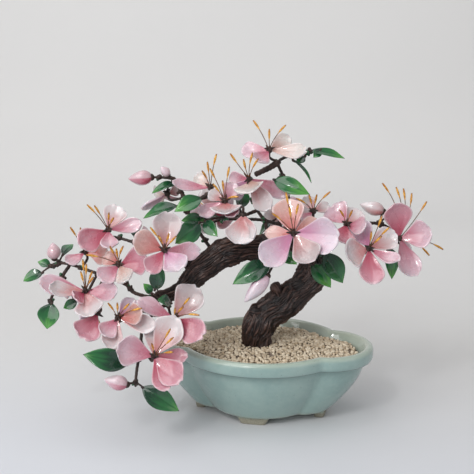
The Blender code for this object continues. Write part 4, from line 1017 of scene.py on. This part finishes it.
class Surface:
    """Material under construction: its nodes, added one by one, and its shader."""

    def __init__(self, name, **constants):
        self.material = bpy.data.materials.new(name)
        self.material.use_nodes = True
        self.tree = self.material.node_tree
        self.shader = self.tree.nodes["Principled BSDF"]
        for socket, value in constants.items():
            self.shader.inputs[socket.replace("_", " ")].default_value = value
        self.object_place = self.add("TexCoord").outputs["Object"]

    def add(self, kind, settings=None, **inputs):
        node = self.tree.nodes.new("ShaderNode" + kind)
        for key, value in (settings or {}).items():
            setattr(node, key, value)
        for key, value in inputs.items():
            self.join(node.inputs[int(key[1:]) if key[0] == "i" and key[1:].isdigit() else key], value)
        return node

    def join(self, socket, value):
        if isinstance(value, bpy.types.NodeSocket):
            self.tree.links.new(value, socket)
        else:
            socket.default_value = value

    def attribute(self, name, output="Color"):
        return self.add("Attribute", {"attribute_name": name}).outputs[output]

    def place(self):
        split = self.add("SeparateXYZ", Vector=self.attribute("place", "Vector"))
        return split.outputs["X"], split.outputs["Y"], split.outputs["Z"]

    def math(self, operation, a, b=0.0, c=0.0):
        return self.add("Math", {"operation": operation}, i0=a, i1=b, i2=c).outputs[0]

    def vector(self, x, y, z):
        return self.add("CombineXYZ", X=x, Y=y, Z=z).outputs[0]

    def noise(self, scale, where=None, detail=3.0, rough=0.55):
        return self.add("TexNoise", Vector=where or self.object_place, Scale=scale, Detail=detail,
                        Roughness=rough).outputs["Fac"]

    def mix(self, share, a, b):
        return self.add("Mix", {"data_type": "RGBA"}, i0=share, i6=a, i7=b).outputs[2]

    def ramp(self, value, low, high, start=0.0, end=1.0):
        return self.add("MapRange", {"interpolation_type": "SMOOTHSTEP"}, Value=value, i1=low, i2=high,
                        i3=start, i4=end).outputs[0]

    def sway(self, value, clouds, share):
        """The value, moved up and down by a share of the clouds, which run from 0 to 1."""
        return self.math("MULTIPLY_ADD", self.math("SUBTRACT", clouds, 0.5), share, value)

    def finished(self, colour, roughness, relief=None, strength=0.0, distance=0.0):
        """The material with this colour and roughness, and a bump where there is a relief."""
        self.join(self.shader.inputs["Base Color"], colour)
        self.join(self.shader.inputs["Roughness"], roughness)
        if relief is not None:
            bump = self.add("Bump", Height=relief, Strength=strength, Distance=distance)
            self.join(self.shader.inputs["Normal"], bump.outputs["Normal"])
        return self.material


def rgb(red, green, blue):
    return red, green, blue, 1.0


def petal_glass():
    """Milky glass, deeper in the middle of the bloom, with faint clouds and a pale, thick rim."""
    made = Surface("petal_glass", IOR=1.5, Transmission_Weight=0.08, Subsurface_Weight=0.35,
                   Subsurface_Radius=(1.0, 0.7, 0.65), Subsurface_Scale=0.002, Coat_Weight=0.8,
                   Coat_Roughness=0.02)
    row, column, chance = made.place()
    offset = made.math("MULTIPLY", chance, 23.0)
    streaks = made.noise(1.0, made.vector(made.math("MULTIPLY_ADD", column, 1.3, offset), row, offset), 2.0)
    veins = made.noise(1.0, made.vector(made.math("MULTIPLY_ADD", column, 9.0, offset),
                                        made.math("MULTIPLY", row, 1.2), offset), 2.0)
    clouds = made.noise(110.0)
    shifted = made.sway(made.sway(made.sway(row, streaks, 0.55), veins, 0.16), clouds, 0.12)
    colour = made.mix(made.ramp(shifted, 0.05, 0.85), made.attribute("tint"), made.attribute("edge"))
    sides = made.ramp(made.math("ABSOLUTE", column), 0.78, 1.0, 0.0, 0.5)
    rim = made.math("MAXIMUM", sides, made.ramp(row, 0.88, 1.0, 0.0, 0.5))
    colour = made.mix(rim, colour, rgb(0.76, 0.71, 0.73))
    return made.finished(colour, made.ramp(clouds, 0.3, 0.7, 0.16, 0.34), made.noise(120.0), 0.4, 0.0010)


def leaf_glass():
    """Green glass, dark at the base and lime towards the tip, with a dark point."""
    made = Surface("leaf_glass", IOR=1.5, Specular_IOR_Level=0.35, Transmission_Weight=0.1,
                   Coat_Weight=0.6, Coat_Roughness=0.025)
    row, column, chance = made.place()
    tone, _, _ = made.add("SeparateColor", Color=made.attribute("tint")).outputs
    streaks = made.noise(1.0, made.vector(made.math("MULTIPLY", column, 2.5),
                                          made.math("MULTIPLY", row, 1.4),
                                          made.math("MULTIPLY", chance, 31.0)), 3.0)
    clouds = made.noise(150.0)
    shifted = made.sway(made.sway(row, streaks, 0.8), tone, 0.5)
    colour = made.mix(made.ramp(shifted, 0.1, 0.6), rgb(0.006, 0.042, 0.020), rgb(0.018, 0.130, 0.038))
    colour = made.mix(made.ramp(shifted, 0.6, 1.1), colour, rgb(0.095, 0.33, 0.06))
    rib = made.ramp(made.math("ABSOLUTE", column), 0.0, 0.12, 0.35, 0.0)
    colour = made.mix(rib, colour, rgb(0.004, 0.03, 0.012))
    colour = made.mix(made.ramp(row, 0.955, 0.985), colour, rgb(0.012, 0.02, 0.012))
    return made.finished(colour, made.ramp(clouds, 0.3, 0.7, 0.1, 0.24), made.noise(240.0), 0.3, 0.0006)


def stamen_metal():
    """Brown wire that ends in an amber glass spindle."""
    made = Surface("stamen", IOR=1.5, Coat_Weight=0.4, Coat_Roughness=0.06)
    part, _, _ = made.place()
    clouds = made.noise(500.0)
    amber = made.mix(made.ramp(clouds, 0.35, 0.65), rgb(0.45, 0.17, 0.015), rgb(0.80, 0.42, 0.05))
    amber = made.mix(made.ramp(part, 0.75, 1.0), amber, rgb(0.30, 0.12, 0.02))
    brown = made.mix(made.ramp(clouds, 0.3, 0.7), rgb(0.07, 0.028, 0.014), rgb(0.22, 0.09, 0.035))
    return made.finished(made.mix(made.ramp(part, -0.25, 0.05), brown, amber),
                         made.ramp(clouds, 0.3, 0.7, 0.15, 0.32), clouds, 0.1, 0.0004)


def floral_tape():
    """Dark brown crêpe tape, a little waxy."""
    made = Surface("tape", Specular_IOR_Level=0.4)
    along, angle, chance = made.place()
    crepe = made.noise(1.0, made.vector(made.math("MULTIPLY", along, 3.0), made.math("MULTIPLY", angle, 1.2),
                                        chance), 3.0)
    clouds = made.noise(140.0)
    colour = made.mix(made.ramp(clouds, 0.35, 0.65), rgb(0.016, 0.009, 0.007), rgb(0.050, 0.026, 0.020))
    colour = made.mix(made.ramp(crepe, 0.5, 0.75, 0.0, 0.6), colour, rgb(0.105, 0.060, 0.045))
    return made.finished(colour, made.ramp(crepe, 0.3, 0.7, 0.38, 0.6), crepe, 0.35, 0.0005)


def bark_resin():
    """Dark resin bark with browner fibres and slightly shiny ridges; the grooves are painted near black as
    painted shade and the ridge tops a lighter brown as a painted highlight.
    """
    made = Surface("bark", Specular_IOR_Level=0.45)
    along, angle, groove = made.place()
    fibres = made.noise(1.0, made.vector(made.math("MULTIPLY", made.math("SINE", angle), 16.0),
                                         made.math("MULTIPLY", made.math("COSINE", angle), 16.0),
                                         made.math("MULTIPLY", along, 0.09)), 3.0)
    clouds = made.noise(75.0)
    colour = made.mix(made.ramp(clouds, 0.35, 0.65), rgb(0.026, 0.012, 0.009), rgb(0.042, 0.020, 0.016))
    # painted highlight: the ridge tops are painted a lighter brown where the light catches them
    colour = made.mix(made.ramp(groove, 0.3, 1.4, 0.0, 0.9), colour, rgb(0.130, 0.072, 0.056))
    colour = made.mix(made.ramp(fibres, 0.54, 0.68, 0.0, 0.6), colour, rgb(0.130, 0.070, 0.053))
    # painted shade: the grooves are painted near black
    colour = made.mix(made.ramp(groove, -0.8, 0.2, 1.0, 0.0), colour, rgb(0.006, 0.003, 0.003))
    relief = made.math("MULTIPLY_ADD", made.noise(700.0), 0.3, fibres)
    return made.finished(colour, made.ramp(fibres, 0.3, 0.7, 0.5, 0.3), relief, 0.4, 0.0010)


def celadon():
    """Grey-green glaze, thin and pale on the rim's edges, with painted shade below the rim band: darker
    towards it and a dark line in the crease under it.
    """
    made = Surface("celadon", IOR=1.5, Coat_Weight=0.5, Coat_Roughness=0.03)
    height, group, _ = made.place()
    clouds = made.noise(28.0, detail=4.0)
    mottle = made.noise(260.0, detail=3.0)
    colour = made.mix(made.ramp(clouds, 0.3, 0.7), rgb(0.230, 0.345, 0.325), rgb(0.290, 0.405, 0.375))
    colour = made.mix(made.ramp(mottle, 0.4, 0.75, 0.0, 0.3), colour, rgb(0.33, 0.44, 0.41))
    on_rim = made.math("COMPARE", group, 1.2, 0.3)
    pale = made.math("MULTIPLY", on_rim, made.ramp(height, 58.5, 62.8, 0.0, 0.62))
    colour = made.mix(pale, colour, rgb(0.46, 0.52, 0.42))
    # painted shade: the body darkens towards the underside of the rim band
    shade_under_band = made.math("MULTIPLY", made.ramp(height, 45.0, 50.5, 0.0, 0.5),
                       made.math("LESS_THAN", group, 0.5))
    colour = made.mix(shade_under_band, colour, rgb(0.17, 0.27, 0.25))
    # painted shade: a dark line in the crease right under the rim band
    off_band = made.math("ABSOLUTE", made.math("SUBTRACT", height, 50.6))
    crease = made.math("MULTIPLY", made.ramp(height, 49.3, 50.9, 0.0, 0.75),
                       made.math("LESS_THAN", off_band, 1.4))
    colour = made.mix(crease, colour, rgb(0.085, 0.14, 0.13))
    colour = made.mix(made.ramp(group, 1.22, 1.3, 0.0, 0.75), colour, rgb(0.42, 0.46, 0.38))
    foot = made.ramp(height, 6.0, 10.0, 0.5, 0.0)
    colour = made.mix(foot, colour, rgb(0.38, 0.40, 0.32))
    specks = made.ramp(made.noise(520.0, detail=1.0), 0.72, 0.76, 0.0, 0.5)
    colour = made.mix(specks, colour, rgb(0.16, 0.20, 0.17))
    relief = made.math("ADD", clouds, made.math("MULTIPLY", mottle, 0.15))
    return made.finished(colour, made.ramp(clouds, 0.3, 0.7, 0.1, 0.2), relief, 0.12, 0.002)


def bare_clay():
    """Feet: glaze that thins out over unglazed clay, its cream darkened all over as painted shade under the
    pot.
    """
    made = Surface("bare_clay", Specular_IOR_Level=0.4)
    height, _, _ = made.place()
    grain = made.noise(900.0)
    clouds = made.noise(120.0)
    # painted shade: the clay's cream is darkened for the shade under the pot
    clay = made.mix(made.ramp(grain, 0.3, 0.7), rgb(0.225, 0.215, 0.165), rgb(0.315, 0.30, 0.235))
    wavy = made.sway(height, clouds, 4.0)
    return made.finished(made.mix(made.ramp(wavy, 4.4, 6.2), clay, rgb(0.29, 0.35, 0.29)),
                         made.ramp(wavy, 4.4, 6.0, 0.75, 0.25), grain, 0.3, 0.0005)


def stone(name, tinted):
    """Cream stone for the grains, each grain its own tone, or for the bed under them a dark brown that is
    painted shade in the gaps between the grains.
    """
    made = Surface(name, Specular_IOR_Level=0.3)
    grain = made.noise(1100.0)
    clouds = made.noise(330.0)
    if tinted:
        colour = made.mix(made.ramp(clouds, 0.35, 0.7, 0.0, 0.5), made.attribute("tint"),
                          rgb(0.66, 0.58, 0.45))
    else:
        # painted shade: the bed is dark brown to stand for the shade between the grains
        colour = made.mix(made.ramp(clouds, 0.35, 0.65), rgb(0.07, 0.05, 0.035), rgb(0.26, 0.20, 0.14))
    colour = made.mix(made.ramp(grain, 0.55, 0.8, 0.0, 0.35), colour, rgb(0.26, 0.20, 0.14))
    relief = made.math("ADD", grain, clouds)
    return made.finished(colour, made.ramp(grain, 0.3, 0.7, 0.7, 0.92), relief, 0.5, 0.0008)


def studio_floor():
    """Pale studio sweep, faintly uneven, painted darker and bluer near the front as painted shade and paler
    further back and up the curve as painted light.
    """
    made = Surface("studio_floor")
    _, away, height = made.add("SeparateXYZ", Vector=made.object_place).outputs
    # painted shade: the floor is darker and bluer near the front
    colour = made.mix(made.ramp(away, -0.25, 0.25), rgb(0.60, 0.625, 0.68), rgb(0.68, 0.675, 0.665))
    # painted light: the floor is paler further back
    colour = made.mix(made.ramp(away, 0.15, 0.75), colour, rgb(0.83, 0.825, 0.815))
    # painted light: the sweep is paler up its curve
    colour = made.mix(made.ramp(height, 0.05, 0.25), colour, rgb(0.80, 0.795, 0.785))
    colour = made.mix(made.ramp(made.noise(2.0), 0.3, 0.7, 0.0, 0.2), colour, rgb(0.72, 0.72, 0.72))
    return made.finished(colour, made.ramp(made.noise(30.0), 0.3, 0.7, 0.55, 0.65))


# Studio

def aimed(name, data, place, direction):
    """New lamp or camera in the scene, at a place and turned to look in a direction."""
    thing = bpy.data.objects.new(name, data)
    thing.location = place
    thing.rotation_mode = "QUATERNION"
    thing.rotation_quaternion = direction.to_track_quat("-Z", "Y")
    bpy.context.scene.collection.objects.link(thing)
    return thing


def build_studio(material):
    """Pale floor that curves up far behind the tree, soft lights and the camera."""
    turn = -POT_TURN
    across_view = Vector((math.cos(turn), math.sin(turn), 0.0))
    away = Vector((-math.sin(turn), math.cos(turn), 0.0))
    profile = [(-SWEEP_NEAR, 0.0), (SWEEP_FAR, 0.0)]
    profile += [(SWEEP_FAR + SWEEP_BEND * math.sin(a), SWEEP_BEND * (1 - math.cos(a)))
                for a in (math.pi / 2 * k / 16 for k in range(1, 17))]
    profile += [(SWEEP_FAR + SWEEP_BEND, SWEEP_TOP)]
    points = [away * distance + Vector((0.0, 0.0, height)) + across_view * side * SWEEP_SIDE
              for distance, height in profile for side in (-1, 1)]
    faces = [(2 * k, 2 * k + 1, 2 * k + 3, 2 * k + 2) for k in range(len(profile) - 1)]
    mesh = bpy.data.meshes.new("studio_floor")
    mesh.from_pydata(points, [], faces)
    floor = shown("studio_floor", mesh, material)

    for name, (side, distance, height), size, power, colour in LIGHTS:
        light = bpy.data.lights.new(name, "AREA")
        light.shape = "RECTANGLE"
        light.size, light.size_y = size
        light.energy = power
        light.color = colour
        place = across_view * side + away * distance + UP * height
        aimed(name, light, place, UP * LIGHTS_AIM - place)

    world = bpy.data.worlds.new("studio")
    world.use_nodes = True
    world.node_tree.nodes["Background"].inputs["Color"].default_value = (*WORLD_COLOUR, 1.0)
    world.node_tree.nodes["Background"].inputs["Strength"].default_value = WORLD_STRENGTH
    bpy.context.scene.world = world

    lens = bpy.data.cameras.new("camera")
    lens.lens = LENS
    lens.clip_start, lens.clip_end = 0.01, 20.0
    forward = away * math.cos(VIEW_RISE) - UP * math.sin(VIEW_RISE)
    place = TO_ROW @ (Vector(VIEW_TARGET) * MM) - forward * VIEW_DISTANCE * MM
    bpy.context.scene.camera = aimed("camera", lens, place, forward)
    bpy.context.scene.view_settings.view_transform = "Standard"


def main():
    materials = {"petal": petal_glass(), "leaf": leaf_glass(), "stamen": stamen_metal(),
                 "tape": floral_tape()}
    build_studio(studio_floor())
    build_pot(celadon(), bare_clay())
    build_gravel(stone("grain_stone", True), stone("bed_gap_shade", False))
    build_trunk(bark_resin())
    chance = random.Random(TREE_SEED)
    for name, spray in SPRAYS.items():
        build_spray(name, spray, materials, chance)
    for name in BLOOMS:
        build_bloom(name, materials, chance)


main()
